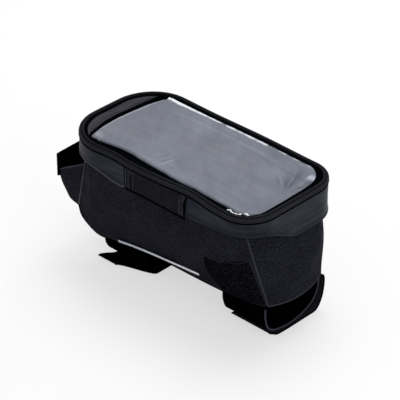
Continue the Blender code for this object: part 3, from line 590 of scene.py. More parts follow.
def even(line, step):
    """The same line with points at even steps."""
    run = np.r_[0, np.cumsum(np.linalg.norm(np.diff(line, axis=0), axis=1))]
    stops = np.linspace(0, run[-1], max(int(round(run[-1] / step)), 2) + 1)
    return np.stack([np.interp(stops, run, line[:, axis]) for axis in range(line.shape[1])], 1)


def tube(name, route, out, half_width, half_height, finish, sides=10, closed=False):
    """A flattened cord along a route. Out is its upright direction at each point."""
    route = np.asarray(route, float)
    out = np.broadcast_to(out, route.shape)
    if closed:
        tangent = np.roll(route, -1, 0) - np.roll(route, 1, 0)
    else:
        tangent = np.gradient(route, axis=0)
    side = unit(np.cross(tangent, out))
    out = unit(np.cross(side, tangent))
    turn = np.linspace(0, 2 * math.pi, sides, endpoint=False)
    ring = side[:, None] * np.cos(turn)[None, :, None] * half_width
    ring = ring + out[:, None] * np.sin(turn)[None, :, None] * half_height
    return swept(name, route[:, None] + ring, finish, closed)


def stitches(name, route, out, finish, length=2.3, gap=1.0, width=0.42):
    """A row of stitches along a route, each a small pod of thread."""
    route = np.asarray(route, float)
    out = np.broadcast_to(out, route.shape)
    run = np.r_[0, np.cumsum(np.linalg.norm(np.diff(route, axis=0), axis=1))]
    starts = np.arange(gap / 2, run[-1] - length, length + gap)
    rings = ((0.0, 0.35), (0.2, 0.9), (0.5, 1.0), (0.8, 0.9), (1.0, 0.35))
    points = []
    faces = []
    for start in starts:
        first = len(points)
        for share, swell in rings:
            at = start + share * length
            centre = np.array([np.interp(at, run, route[:, axis]) for axis in range(3)])
            ahead = np.array([np.interp(at + 0.5, run, route[:, axis]) for axis in range(3)])
            rise = unit(np.array([np.interp(at, run, out[:, axis]) for axis in range(3)]))
            side = unit(np.cross(ahead - centre, rise))
            for turn in np.linspace(0, 2 * math.pi, 6, endpoint=False):
                offset = side * math.cos(turn) + rise * math.sin(turn) * 0.8
                points.append(centre + offset * width / 2 * swell)
        for row in range(len(rings) - 1):
            here = first + row * 6
            for corner in range(6):
                beside = (corner + 1) % 6
                faces.append((here + corner, here + beside, here + 6 + beside, here + 6 + corner))
        faces.append(tuple(first + corner for corner in range(5, -1, -1)))
        faces.append(tuple(first + (len(rings) - 1) * 6 + corner for corner in range(6)))
    return new_mesh(name, points, faces, finish)


def ripple(points, size, seed=0.0):
    """Smooth noise between -1 and 1 at each point; size is in millimetres, one or three numbers."""
    flat = np.asarray(points, float).reshape(-1, 3) / size
    values = [noise.noise(Vector(p) + Vector((seed, seed * 1.7, -seed))) for p in flat]
    return np.array(values).reshape(np.asarray(points).shape[:-1])


def ease(value, start, end):
    """0 before start and 1 after end, with a soft turn between them."""
    share = np.clip((value - start) / (end - start), 0, 1)
    return share * share * (3 - 2 * share)


def bell(value, middle, width):
    """1 at the middle and 0 far from it."""
    return np.exp(-(((value - middle) / width) ** 2))


def keep_solid(node, finish, edge_width, segments):
    """Gives a solid that stays in place its finish and soft edges."""
    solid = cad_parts[node]
    solid.data.materials.clear()
    solid.data.materials.append(finish)
    edge = solid.modifiers.new("soft_edges", "BEVEL")
    edge.width = edge_width * MM
    edge.segments = segments
    edge.limit_method = "ANGLE"


def fit(made, body, slot, *replaced):
    """Makes a finished piece move with a body, and hides the solids it stands for."""
    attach(made, body)
    if replaced:
        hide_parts(*replaced)
    return made


print("mesh helpers ready")

# %% [markdown]
# Nearly everything on the lid follows one outline, a rectangle with round corners, wider at the
# front. A walk round it gives points and outward normals at even steps. A piece that lies further
# in is the same walk moved along the normals. A used lid isn't a drawn rectangle: on the left its
# edge is dented in two places, and every lid piece takes the same dents.

# %% Lid outline
LID_X = LID_MIDDLE.x / MM
TOP = cad_high.z / MM
LID_LENGTH = (LID_HIGH.x - LID_LOW.x) / MM + 0.6
LID_WIDTH = (LID_HIGH.y - LID_LOW.y) / MM + 0.6
FRONT_RADIUS = 40
REAR_RADIUS = 28
HINGE_FRONT = -30
HINGE_REAR = 36
STEP = 2.0


def straight(start, end, normal):
    """Points along a straight side, with the same normal everywhere."""
    count = max(int(math.dist(start, end) / STEP), 1)
    share = np.linspace(0, 1, count, endpoint=False)[:, None]
    points = np.array(start) * (1 - share) + np.array(end) * share
    return points, np.tile(normal, (count, 1))


def arc(centre, radius, start):
    """Points round a quarter circle, from an angle in degrees."""
    count = int(math.pi / 2 * radius / STEP)
    turn = np.radians(start + np.linspace(0, 90, count, endpoint=False))
    normals = np.stack([np.cos(turn), np.sin(turn)], 1)
    return np.array(centre) + normals * radius, normals


def rim_walk(start=0.0, end=0.0):
    """Points and normals round the lid: along the left side to the rear, across, and back."""
    half_length = LID_LENGTH / 2
    half_width = LID_WIDTH / 2
    rear = half_length - REAR_RADIUS
    front = -half_length + FRONT_RADIUS
    rear_side = half_width - REAR_RADIUS
    front_side = half_width - FRONT_RADIUS
    parts = [
        straight((start, -half_width), (rear, -half_width), (0, -1)),
        arc((rear, -rear_side), REAR_RADIUS, -90),
        straight((half_length, -rear_side), (half_length, rear_side), (1, 0)),
        arc((rear, rear_side), REAR_RADIUS, 0),
        straight((rear, half_width), (front, half_width), (0, 1)),
        arc((front, front_side), FRONT_RADIUS, 90),
        straight((-half_length, front_side), (-half_length, -front_side), (-1, 0)),
        arc((front, -front_side), FRONT_RADIUS, 180),
        straight((front, -half_width), (end, -half_width), (0, -1)),
    ]
    return np.vstack([p for p, _ in parts]), np.vstack([n for _, n in parts])


# Each dent: its place along the lid, its reach and its depth.
DENTS = ((38, 20, 3.0), (-47, 15, 2.0))


def lid_warp(points):
    """Dents the upper left edge and lets the lid waver. Points count from the lid's middle."""
    points = points.copy()
    x, y, z = points[..., 0], points[..., 1], points[..., 2]
    near = 1 - ease(y, -54, -25)
    high = ease(z, TOP - 12, TOP - 4)
    dent = sum(depth * bell(x, middle, width) for middle, width, depth in DENTS)
    points[..., 1] = y + dent * near * high + 0.35 * np.sin(x / 17) * high
    points[..., 2] = z + 0.3 * np.sin(x / 23 + 1) + 0.25 * np.sin(y / 14 + x / 31)
    return points


def on_lid(points):
    """Warps points and moves them from the lid's middle to the shared frame."""
    moved = lid_warp(np.asarray(points, float))
    moved[..., 0] += LID_X
    return moved


def rim_sections(profile, start=0.0, end=0.0):
    """Sections round the lid from a profile of (inset, drop) pairs."""
    points, normals = rim_walk(start, end)
    sections = np.zeros((len(points), len(profile), 3))
    for index, (inset, drop) in enumerate(profile):
        sections[:, index, :2] = points - normals * np.asarray(inset).reshape(-1, 1)
        sections[:, index, 2] = TOP - np.asarray(drop)
    return on_lid(sections)


walk, _ = rim_walk()
print("lid", round(LID_LENGTH), "by", round(LID_WIDTH), "mm,", len(walk), "points round it")

# %% [markdown]
# The rim is a folded tape with a stitched groove along its crown, which makes two soft ridges, and
# a flat black tape is bound inside it. A round tube would give one highlight, not two. So the
# section is drawn as a soft closed line through a few points and swept round the lid.


# %% Rim of the lid
RIM_SECTION = (
    (0.45, 4.3),
    (0.15, 3.2),
    (0.4, 1.9),
    (1.2, 1.0),
    (2.1, 1.15),
    (2.6, 2.0),
    (2.85, 2.6),
    (3.05, 1.7),
    (3.4, 0.1),
    (4.2, -0.6),
    (5.0, 0.4),
    (5.0, 2.4),
    (4.4, 4.1),
    (2.4, 4.6),
)


def oval(inset, drop, half_width, half_height, sides=14):
    """An oval profile, centred on an inset and a drop."""
    turn = np.linspace(0, 2 * math.pi, sides, endpoint=False)
    return [(inset + half_width * math.cos(t), drop - half_height * math.sin(t)) for t in turn]


piping = swept("rim_piping", rim_sections(RIM_SECTION[::-1]), RIM_TAPE, closed=True, levels=1)
fit(piping, "lid", "rim_trim", "lid_piping")
binding = swept("rim_binding", rim_sections(oval(6.3, 2.2, 1.6, 1.3)), BLACK_TAPE, closed=True)
fit(binding, "lid", "rim_trim", "inner_binding")
# A black cord under the outer ridge: painted shadow in the groove above the skirt.
under = swept("rim_under_shadow", rim_sections(oval(1.35, 4.9, 1.15, 0.85)), BLACK_TAPE, closed=True)
fit(under, "lid", "rim_trim")
groove = rim_sections([(2.75, 2.1)])[:, 0]
rim_stitches = stitches("rim_stitches", groove, (0, 0, 1), DARK_THREAD, 2.0, 0.9, 0.36)
fit(rim_stitches, "lid", "rim_trim")
print("rim:", len(piping.data.vertices) + len(binding.data.vertices), "points")

# %% [markdown]
# The skirt is the coated band that hangs from the rim and hides the zip. It stops at both ends of the hinge
# fabric, with a rounded lower corner, and hangs lower at the rear and on the right. Its lower edge is
# folded up into a hem and stitched, and at the front the hem carries a thin pale line, a painted highlight.

# %% Skirt
SKIRT_TOP = 5.4
SKIRT_FRONT = (25.6, 19.8)
SKIRT_REAR = (22, 18.2)
SKIRT_RIGHT = 33.5
SKIRT_CORNER = 1.6
HEM = 2.6


def skirt_drop(points):
    """How far down the skirt's lower edge lies at each point of the walk."""
    x, y = points[:, 0], points[:, 1]
    front = SKIRT_FRONT[0] + ease(-x, 38, 76) * (SKIRT_FRONT[1] - SKIRT_FRONT[0])
    rear = SKIRT_REAR[0] + ease(x, 36, 96) * (SKIRT_REAR[1] - SKIRT_REAR[0])
    low = np.where(x > 0, rear, front)
    low = low + np.where(x > 0, ease(y, -40, 3), ease(y, -20, 20)) * (SKIRT_RIGHT - low)
    run = np.r_[0, np.cumsum(np.linalg.norm(np.diff(points, axis=0), axis=1))]
    for distance in (run, run[-1] - run):
        inside = np.clip(1 - distance / SKIRT_CORNER, 0, 1)
        low = low - SKIRT_CORNER * (1 - np.sqrt(1 - inside**2))
    return low


def make_skirt():
    """The skirt's grid, with the walk round it and how far down its edge lies."""
    points, normals = rim_walk(HINGE_REAR, HINGE_FRONT)
    low = skirt_drop(points)
    share = np.linspace(0, 1, 16)[:, None]
    flat = grid_of(points[:, 0], points[:, 1], TOP - (SKIRT_TOP + (low - SKIRT_TOP) * share))
    sway = ripple(flat, (34, 34, 16), 3.0) * 0.5 + ripple(flat, (60, 60, 5), 8.0) * 0.25
    sway = sway * np.sin(np.pi * np.clip(share * 1.1, 0, 1))
    inset = 1.1 - sway + 0.5 * np.sin(np.pi * share)
    grid = flat.copy()
    grid[..., :2] = points[None] - normals[None] * inset[..., None]
    return on_lid(grid), points, normals, low


skirt_grid, skirt_walk, skirt_normals, skirt_low = make_skirt()
skirt = sheet("lid_skirt_cloth", skirt_grid, SKIRT_CLOTH, thickness=1.1)
fit(skirt, "lid", "coated_fabric", "lid_skirt")


def along_skirt(up, inset):
    """A line round the skirt, a height above its lower edge."""
    line = np.zeros((len(skirt_walk), 3))
    line[:, :2] = skirt_walk - skirt_normals * inset
    line[:, 2] = TOP - skirt_low + up
    return on_lid(line)


outward = np.c_[skirt_normals, np.zeros(len(skirt_normals))]
hem_line = along_skirt(0.5, 1.1)
front_part = skirt_walk[:, 0] < 0
# The front stretch of hem is paler: a painted highlight.
pale = front_part & (skirt_walk[:, 1] < -20)
hem = tube("skirt_hem", hem_line[~pale], outward[~pale], 0.75, 0.8, SKIRT_CLOTH)
fit(hem, "lid", "coated_fabric")
hem_painted_highlight = tube("skirt_front_hem", hem_line[pale], outward[pale], 0.75, 0.8, HEM_HIGHLIGHT_TAPE)
fit(hem_painted_highlight, "lid", "coated_fabric")
# A black tape behind the hem: painted shadow under the skirt's lower edge.
skirt_shadow_tape = tube("skirt_under_shadow", along_skirt(-0.5, 1.9), outward, 0.8, 0.6, BLACK_TAPE)
fit(skirt_shadow_tape, "lid", "coated_fabric")
hem_stitches = stitches("skirt_hem_stitches", along_skirt(HEM, 0.3), outward, DARK_THREAD)
fit(hem_stitches, "lid", "coated_fabric")
print("skirt:", skirt_grid.shape[0] * skirt_grid.shape[1], "points")

# %% [markdown]
# The hinge is a stretch of softer woven fabric in the left of the skirt. It is gathered a little at both
# ends, so upright folds run down it, and at its lower edge it turns in and is sewn to the wall. When the
# lid opens, it bends just above that seam.

# %% Hinge fabric
HINGE_LOW = 24.7
HINGE_TURN = 6.4
HINGE_INSET = 0.9
FOLD_RADIUS = 1.2
AXIS_Z = TOP - HINGE_LOW


def make_hinge_fabric():
    """The fabric from under the rim, down, round its lower fold and in to the wall."""
    xs = np.linspace(HINGE_FRONT - 1.2, HINGE_REAR + 1.2, 130)
    fold_top = HINGE_LOW - FOLD_RADIUS
    profile = [(HINGE_INSET, drop) for drop in np.linspace(SKIRT_TOP - 0.4, fold_top, 22)]
    for turn in np.radians(np.linspace(10, 90, 5)):
        inset = HINGE_INSET + FOLD_RADIUS * (1 - math.cos(turn))
        profile.append((inset, fold_top + FOLD_RADIUS * math.sin(turn)))
    profile += [(inset, HINGE_LOW) for inset in np.linspace(2.9, HINGE_TURN, 4)]
    profile = np.array(profile)
    grid = grid_of(xs, -LID_WIDTH / 2 + profile[:, :1], TOP - profile[:, 1:])
    ends = bell(xs, HINGE_FRONT + 5, 7) + bell(xs, HINGE_REAR - 6, 8)
    folds = np.sin(xs * 3.0 + 0.6 * np.sin(xs * 0.7)) * ends * 0.5 + ripple(grid, (6, 30, 26), 2.0) * 0.4
    hang = ease(TOP - grid[..., 2], SKIRT_TOP, SKIRT_TOP + 5) * (1 - ease(profile[:, :1], 0.95, 2.2))
    grid[..., 1] += (folds + 0.5) * hang
    return on_lid(grid)


hinge_grid = make_hinge_fabric()
hinge_cloth = sheet("hinge_cloth", hinge_grid, HINGE_CLOTH, thickness=0.9)
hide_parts("hinge_panel")
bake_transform(hinge_cloth)
# Each upright seam: x along the lid, the tape that covers it, and half its width.
HINGE_SEAMS = (
    ("front", HINGE_FRONT + 0.2, SEAM_HIGHLIGHT_TAPE, 0.55),
    ("rear", HINGE_REAR - 2.6, SEAM_HIGHLIGHT_TAPE, 0.55),
    ("rear_outer", HINGE_REAR - 0.5, BLACK_TAPE, 0.8),
)
for word, x, finish, half_width in HINGE_SEAMS:
    drops = np.linspace(SKIRT_TOP + 0.5, HINGE_LOW - 2, 14)
    line = on_lid(np.c_[np.full(14, x), np.full(14, -LID_WIDTH / 2 + 0.35), TOP - drops])
    ridge = tube(f"hinge_seam_{word}", line, (0, -1, 0), half_width, 0.4, finish, sides=8)
    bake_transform(ridge)
# A black tape along the hinge's lower fold: painted shadow in the groove above the wall.
xs = np.linspace(HINGE_FRONT, HINGE_REAR - 0.5, 60)
fold_line = np.c_[xs, np.full(60, -LID_WIDTH / 2 + 1.3), np.full(60, AXIS_Z - 0.5)]
fold = tube("hinge_fold_shadow_tape", on_lid(fold_line), (0, -1, 0), 1.0, 0.9, BLACK_TAPE, sides=8)
fit(fold, "bag", "charcoal_fabric")
print("hinge fabric:", hinge_grid.shape[0] * hinge_grid.shape[1], "points")

# %% [markdown]
# Inside the rim lies a black fabric border, then the film. On the left the border shows as a dark
# strip whose inner edge wanders, because the film is pulled away from the rim there. At the front
# a crescent of coated cloth fills the lid, with a double stitch and a black binding beside it.

# %% Border and front band
WINDOW_FRONT = -LID_LENGTH / 2 + 21
BORDER_INSET = 6.6
BORDER_DROP = 3.0


def make_border():
    """A flat ring from under the rim to the window, lower on the left."""
    points, normals = rim_walk()
    x, y = points[:, 0], points[:, 1]
    left = ease(-y, 30, 52) * ease(x, -95, -84) * (1 - ease(x, 84, 96))
    reach = 4.2 + left * 6.5 + ripple(np.c_[points, points[:, 0] * 0], 14, 5.0) * 0.5
    share = np.linspace(0, 1, 6)[:, None]
    inset = BORDER_INSET + reach * share
    place = points - normals * inset[..., None]
    height = TOP - BORDER_DROP - 0.4 * share - left * np.minimum(share * 2, 1) * 1.6
    return on_lid(grid_of(place[..., 0], place[..., 1], height))


border = sheet("lid_border_cloth", make_border(), BORDER_CLOTH, thickness=0.8, wrap=True)
fit(border, "lid", "charcoal_fabric", "lid_border")


# Measured in the photograph: y across the lid, and x of the band's rear edge there.
BAND_EDGE = np.array(
    (
        (-42, -83.4),
        (-38, -84.6),
        (-19, -88.6),
        (-5, -89.4),
        (11, -88.4),
        (27, -87.0),
        (40, -85.4),
        (49, -84.2),
    )
)


def band_bow(y):
    """The x of the band's rear edge, which bows forward in the middle."""
    return np.interp(y, BAND_EDGE[:, 0], BAND_EDGE[:, 1])


def crescent(inset, edge, rows, columns):
    """A grid over the front of the lid, between the rim and a bowed line across it."""
    radius = FRONT_RADIUS - inset
    centre_x = -LID_LENGTH / 2 + FRONT_RADIUS
    centre_y = LID_WIDTH / 2 - FRONT_RADIUS
    widest = centre_y + math.sqrt(radius**2 - (centre_x - edge) ** 2)
    ys = np.linspace(-widest, widest, columns)
    out = np.maximum(np.abs(ys) - centre_y, 0)
    front = centre_x - np.sqrt(np.maximum(radius**2 - out**2, 0))
    bow = band_bow(ys) - 0.9
    front = np.minimum(front, bow)
    share = np.linspace(0, 1, rows)[:, None]
    return grid_of(front * (1 - share) + bow * share, ys)


band_grid = crescent(7.3, WINDOW_FRONT + 2.5, 14, 60)
band_grid[..., 2] = TOP - 2.3 + ripple(band_grid, 16, 4.0) * 0.25
band = sheet("front_band_cloth", on_lid(band_grid), BAND_CLOTH, thickness=0.8)
fit(band, "lid", "coated_fabric", "front_band")
for word, back in (("front", 4.4), ("rear", 2.9)):
    stitch_ys = np.linspace(-38, 44, 60)
    line = np.c_[band_bow(stitch_ys) - back, stitch_ys * 0.93, np.full(60, TOP - 1.85)]
    band_stitches = stitches(f"band_stitches_{word}", on_lid(line), (0, 0, 1), DARK_THREAD)
    fit(band_stitches, "lid", "coated_fabric")
ys = np.linspace(-40, 46, 50)
binding_line = np.c_[band_bow(ys), ys, np.full(50, TOP - 2.0)]
band_binding = tube("band_binding", on_lid(binding_line), (0, 0, 1), 1.5, 0.75, BLACK_TAPE)
fit(band_binding, "lid", "charcoal_fabric")
print("front band:", band_grid.shape[0] * band_grid.shape[1], "points")

# %% [markdown]
# The film is thin, clear plastic with a milky haze. It isn't flat: broad soft waves cross it,
# pleats fan out at its rear corner, and its far edge stands up and catches the light. A film this
# stiff keeps its creases, so they are written as heights on a fine grid: noise for the waves, a
# wave of the angle for the fan. A cloth solver would smooth them away.

# %% Clear film
FILM_FRONT = WINDOW_FRONT - 0.4
FILM_REAR = LID_LENGTH / 2 - 10.4
FILM_SIDE = LID_WIDTH / 2 - 7.6
FILM_FRONT_RADIUS = 2
FAR_GAP = 0.8
FILM_REAR_RADIUS = 22
# Measured in the photograph: y across the lid, and x of the film's front edge there.
FRONT_EDGE = np.array(
    (
        (-41, -83.0),
        (-32, -84.9),
        (-21, -86.3),
        (-7, -87.4),
        (5, -86.4),
        (14, -84.6),
        (27, -82.6),
        (34, -80.6),
        (38, -78.6),
        (42, -77.0),
        (45, -77.4),
        (48, -79.0),
    )
)
# Measured too: x along the lid, and how far the left edge stays away from the rim there.
NEAR_EDGE = np.array(
    (
        (-88, 5.4),
        (-80, 5.6),
        (-69, 6.2),
        (-51, 8.1),
        (-36, 8.6),
        (-29, 8.0),
        (-4, 6.4),
        (20, 4.5),
        (43, 3.6),
        (63, 4.9),
        (76, 5.1),
        (88, 1.2),
        (101, 0.0),
    )
)


# The film's front right corner curls up, and its front left corner is crumpled: x and y of each.
CURL = (-80, 45)
CRUMPLE = (-71, -40)


def film_rows(rows, columns):
    """A grid that fills the window. Its left edge keeps away from the rim by a wandering gap."""
    xs = FILM_FRONT + (FILM_REAR - FILM_FRONT) * (1 - np.cos(np.linspace(0, np.pi, columns))) / 2
    reach = np.full(columns, float(FILM_SIDE))
    into_front = np.maximum(FILM_FRONT + FILM_FRONT_RADIUS - xs, 0)
    into_rear = np.maximum(xs - FILM_REAR + FILM_REAR_RADIUS, 0)
    for into, radius in ((into_front, FILM_FRONT_RADIUS), (into_rear, FILM_REAR_RADIUS)):
        reach -= radius - np.sqrt(np.maximum(radius**2 - into**2, 0))
    share = np.linspace(-1, 1, rows)[:, None]
    gap = np.interp(xs, NEAR_EDGE[:, 0], NEAR_EDGE[:, 1])
    near = gap * ease(-share, 0.2, 1.0)
    y = share * reach + near - FAR_GAP * ease(share, 0.2, 1.0)
    front_edge = np.interp(y, FRONT_EDGE[:, 0], FRONT_EDGE[:, 1])
    x = xs + (front_edge - FILM_FRONT) * (1 - ease(xs, FILM_FRONT, -62))
    return grid_of(x, y)


def film_height(x, y):
    """How far below the lid's top the film lies: low on the left, and level with the far rim."""
    drop = 3.3 - 1.9 * ease(y, -20, 46) + 0.7 * (1 - ease(y, -46, -34))
    far_roll = 1.3 * ease(y, 45.6, 47.4) - 0.45 * bell(y, 44.5, 1.8)
    tuck = 0.5 * ease(-x, 84, 90)
    return drop + far_roll + tuck


def make_film():
    """The film's grid, with its waves, pleats, curled corner, crumple, crease and fold."""
    grid = film_rows(96, 170)
    x, y = grid[..., 0], grid[..., 1]
    waves = ripple(grid, (36, 20, 9), 1.0) * 0.5 + ripple(grid, (13, 42, 9), 6.0) * 0.22
    lengthwise = ripple(grid, (70, 4.5, 9), 9.0) * 0.14
    inside = ease(47.6 - np.abs(y), 0, 6)
    from_rear = np.hypot(x - FAN_X, y - FAN_Y)
    pleats = np.sin(np.arctan2(y - FAN_Y, FAN_X - x) * 9 + ripple(grid, (9, 9, 9), 12.0))
    fan = pleats * bell(from_rear, 16, 10) * ease(y, FAN_Y, FAN_Y + 10) * 0.45
    from_curl = np.hypot(x - CURL[0], y - CURL[1])
    curl = np.sin(from_curl * 0.9 + 1) * bell(from_curl, 0, 9) * 0.4
    from_crumple = np.hypot((x - CRUMPLE[0]) / 1.8, y - CRUMPLE[1])
    crumple = ripple(grid, (2.6, 5, 9), 4.0) * bell(from_crumple, 0, 5) * 0.9
    crease = 0.35 * bell(y - 36 + (x + 40) * 0.03, 0, 1.1) * ease(x, -75, -50) * (1 - ease(x, 50, 80))
    fold = 0.4 * bell(y + 12 - (x + 30) * 0.45, 0, 1.6) * bell(x, -38, 18)
    rise = (waves + lengthwise + fan - crease + fold) * inside + curl + crumple
    grid[..., 2] = TOP - film_height(x, y) + rise
    return on_lid(grid)


film_grid = make_film()
film = sheet("window_film_clear", film_grid, FILM, thickness=0.3, levels=0)
fit(film, "lid", "clear_film", "window_film")
print("film:", film_grid.shape[0] * film_grid.shape[1], "points")

# %% [markdown]
# At the left rear corner the film's cut edge stands out of the gap. It catches the light as a short white
# wavy line, in two pieces. It is a narrow ribbon on edge along a soft line, painted white as a highlight.

# %% Glint at the film's edge
# The clear edge is painted white: a painted highlight.
FILM_EDGE_HIGHLIGHT = solid_grain("film_edge_painted_highlight", "#d9dde4", "#ffffff", 1.2, 0.25, 0.01)
LONG_GLINT = ((74.5, -46.4), (77.2, -45.4), (80.2, -46.8), (83.2, -46.4), (85.8, -46.0), (87.4, -43.8))
SHORT_GLINT = ((88.6, -41.8), (90.0, -40.6), (91.4, -41.4), (92.8, -40.7))
GLINTS = {"long": LONG_GLINT, "short": SHORT_GLINT}
for word, places in GLINTS.items():
    flat = curve([(x, y, 0) for x, y in places], 0.5)
    height = TOP - 1.9 + np.sin(flat[:, 0] * 1.9) * 0.3
    line = on_lid(np.c_[flat[:, :2], height])
    ribbon = tube(f"film_glint_{word}", line, (0, 0, 1), 0.75, 0.7, FILM_EDGE_HIGHLIGHT, 8)
    fit(ribbon, "lid", "clear_film")
print("glints:", len(GLINTS))

# %% [markdown]
# Under the film are the parts that only show when the lid is open: a thin frame board, a soft
# wall round the phone and the grey back of the pocket, whose rear edge is its mouth.


# %% Phone pocket
def foam_ring(name, profile, node):
    """A ring of foam round the lid."""
    made = swept(name, rim_sections(profile), FOAM, closed=True)
    return fit(made, "lid", "foam", node)


foam_ring("frame_board", [(5.0, 5.7), (5.0, 6.2), (17.1, 6.2), (17.1, 5.7)], "lid_board")
foam_ring("pocket_soft_wall", oval(16.2, 10, 0.95, 3.4, 12), "pocket_wall")
POCKET_INSET = 15.6
POCKET_REAR = 80


def make_pocket_back():
    """A sheet over the inside of the lid, slack between its seams."""
    front = -LID_LENGTH / 2 + POCKET_INSET
    xs = np.linspace(front, POCKET_REAR, 84)
    radius = FRONT_RADIUS - POCKET_INSET
    into = np.maximum(front + radius - xs, 0)
    reach = LID_WIDTH / 2 - POCKET_INSET - (radius - np.sqrt(np.maximum(radius**2 - into**2, 0)))
    share = np.linspace(-1, 1, 44)[:, None]
    grid = grid_of(xs, share * reach)
    slack = ripple(grid, (26, 18, 9), 7.0) * 0.7 + ripple(grid, (8, 30, 9), 3.0) * 0.25
    grid[..., 2] = TOP - 14.4 + slack * np.sqrt(np.clip(1 - np.abs(share), 0, 1))
    return on_lid(grid)


pocket_grid = make_pocket_back()
pocket = sheet("pocket_back_cloth", pocket_grid, LINING_CLOTH, thickness=0.7)
fit(pocket, "lid", "grey_lining", "pocket_back")
mouth = tube("pocket_mouth_binding", pocket_grid[:, -1], (0, 0, 1), 1.3, 0.9, BLACK_TAPE)
fit(mouth, "lid", "charcoal_fabric")
print("pocket back:", pocket_grid.shape[0] * pocket_grid.shape[1], "points")

# %% [markdown]
# The walls of the bag run from an outline like the lid's down to a narrower base. A few stations
# along the side say where the lower edge is, and a smooth curve through them does the rest. Each
# wall is a function from two shares, along and down, to a point, so that panels, seams, patches
# and stripes can all be laid on the same surface.

# %% Wall surfaces
WALL_INSET = 6.9
WALL_TOP = 102.7
SIDE_BULGE = 4
REAR_BULGE = 2.5
CORNER_BULGE = 1.6
FRONT_HOLLOW = 8
REAR_REACH = 111.5
FRONT_TOP_X = -94
REAR_TOP_X = 93
SIDES = (("left", -1), ("right", 1))
# From the front: x of the wall's top, x of its lower edge, half width there, height there.
STATIONS = np.array(
    (
        (-94, -101, 40, 47),
        (-89, -97, 39.5, 36),
        (-80, -82, 38, 26),
        (-65, -66, 36.5, 25.5),
        (-28, -28, 34, 29.5),
        (44, 46, 32, 29.5),
        (76, 82, 31.5, 32),
        (88, 99, 31.5, 35),
        (93, 106, 31.5, 38),
    ),
    float,
)


def station(along):
    """Top x, bottom x, bottom half width and bottom height at shares of the side's length."""
    along = np.asarray(along, float)
    last = len(STATIONS) - 1
    place = along * last
    index = np.clip(place.astype(int), 0, last - 1)
    t = (place - index)[..., None]
    before = STATIONS[np.maximum(index - 1, 0)]
    after = STATIONS[np.minimum(index + 2, last)]
    value = soft_step(before, STATIONS[index], STATIONS[index + 1], after, t)
    return [value[..., column] for column in range(4)]


def top_side(side, x, depth):
    """The upper edge of a side wall, moved in by depth."""
    radius_full = np.where(x > 0, REAR_RADIUS, FRONT_RADIUS)
    radius = radius_full - WALL_INSET
    centre_x = np.sign(x) * (LID_LENGTH / 2 - radius_full)
    centre_y = LID_WIDTH / 2 - radius_full
    out = np.maximum(np.abs(x) - np.abs(centre_x), 0)
    angle = np.arccos(np.clip(out / radius, 0, 1))
    reach = radius - depth
    corner_x = centre_x + np.sign(x) * reach * np.cos(angle)
    corner_y = centre_y + reach * np.sin(angle)
    plain = out == 0
    px = np.where(plain, x, corner_x)
    py = np.where(plain, LID_WIDTH / 2 - WALL_INSET - depth, corner_y)
    return np.stack([LID_X + px, side * py, np.full_like(px, WALL_TOP)], -1)


def top_end(end, across, depth):
    """The upper edge of the front (-1) or rear (1) wall."""
    corner = top_side(1, np.array(float(REAR_TOP_X if end > 0 else FRONT_TOP_X)), 0)
    y = across * corner[1]
    radius_full = REAR_RADIUS if end > 0 else FRONT_RADIUS
    radius = radius_full - WALL_INSET
    centre_x = end * (LID_LENGTH / 2 - radius_full)
    centre_y = LID_WIDTH / 2 - radius_full
    out = np.maximum(np.abs(y) - centre_y, 0)
    angle = np.arcsin(np.clip(out / radius, 0, 1))
    reach = radius - depth
    shift = (LID_WIDTH / 2 - WALL_INSET - depth) / (LID_WIDTH / 2 - WALL_INSET)
    plain = out == 0
    corner_x = centre_x + end * reach * np.cos(angle)
    px = np.where(plain, end * (LID_LENGTH / 2 - WALL_INSET - depth), corner_x)
    py = np.where(plain, y * shift, np.sign(y) * (centre_y + reach * np.sin(angle)))
    return np.stack([LID_X + px, py, np.full_like(px, WALL_TOP)], -1)


def base(along, across, depth):
    """The underside, hollow at the front and full at the rear."""
    _, x, half_width, height = station(along)
    bow = 1 - across**2
    front = np.maximum(1 - along / 0.25, 0)
    rear = np.maximum((along - 0.75) / 0.25, 0) ** 2
    x = x + bow * (front * FRONT_HOLLOW + rear * (REAR_REACH - STATIONS[-1][1]))
    height = height - bow * (front * 2 + rear * REAR_BULGE)
    x = x - depth * x / (LID_LENGTH / 2)
    return np.stack([LID_X + x, across * (half_width - depth), height + depth], -1)


def side_wall(side, along, down, depth=0.0):
    """A side wall: -1 is the left one."""
    along, down = np.broadcast_arrays(np.asarray(along, float), np.asarray(down, float))
    top = top_side(side, station(along)[0], depth)
    low = base(along, np.full_like(along, side), depth)
    point = top + (low - top) * down[..., None]
    corner = CORNER_BULGE * np.sin(np.pi * down) ** 2 * ease(along, 0.8, 1)
    point[..., 0] += corner
    point[..., 1] += side * (SIDE_BULGE * np.sin(np.pi * down) * np.sin(np.pi * along) + corner)
    return point


def rear_wall(across, down, depth=0.0):
    """The rear wall: across runs from -1 on the left to 1 on the right."""
    across, down = np.broadcast_arrays(np.asarray(across, float), np.asarray(down, float))
    top = top_end(1, across, depth)
    low = base(np.ones_like(across), across, depth)
    point = top + (low - top) * down[..., None]
    corner = CORNER_BULGE * np.sin(np.pi * down) ** 2
    point[..., 0] += REAR_BULGE * np.sin(np.pi * down) * (1 - across**2) + corner
    point[..., 1] += across * corner
    return point


def front_wall(across, down, depth=0.0):
    """The front wall, which is flat from top to bottom."""
    across, down = np.broadcast_arrays(np.asarray(across, float), np.asarray(down, float))
    top = top_end(-1, across, depth)
    low = base(np.zeros_like(across), across, depth)
    return top + (low - top) * down[..., None]


def even_along(count, low=0.0, high=1.0):
    """Shares of the side's length that lie evenly in millimetres."""
    fine = np.linspace(0, 1, 800)
    x = station(fine)[1]
    stops = np.linspace(np.interp(low, fine, x), np.interp(high, fine, x), count)
    return np.interp(stops, x, fine)


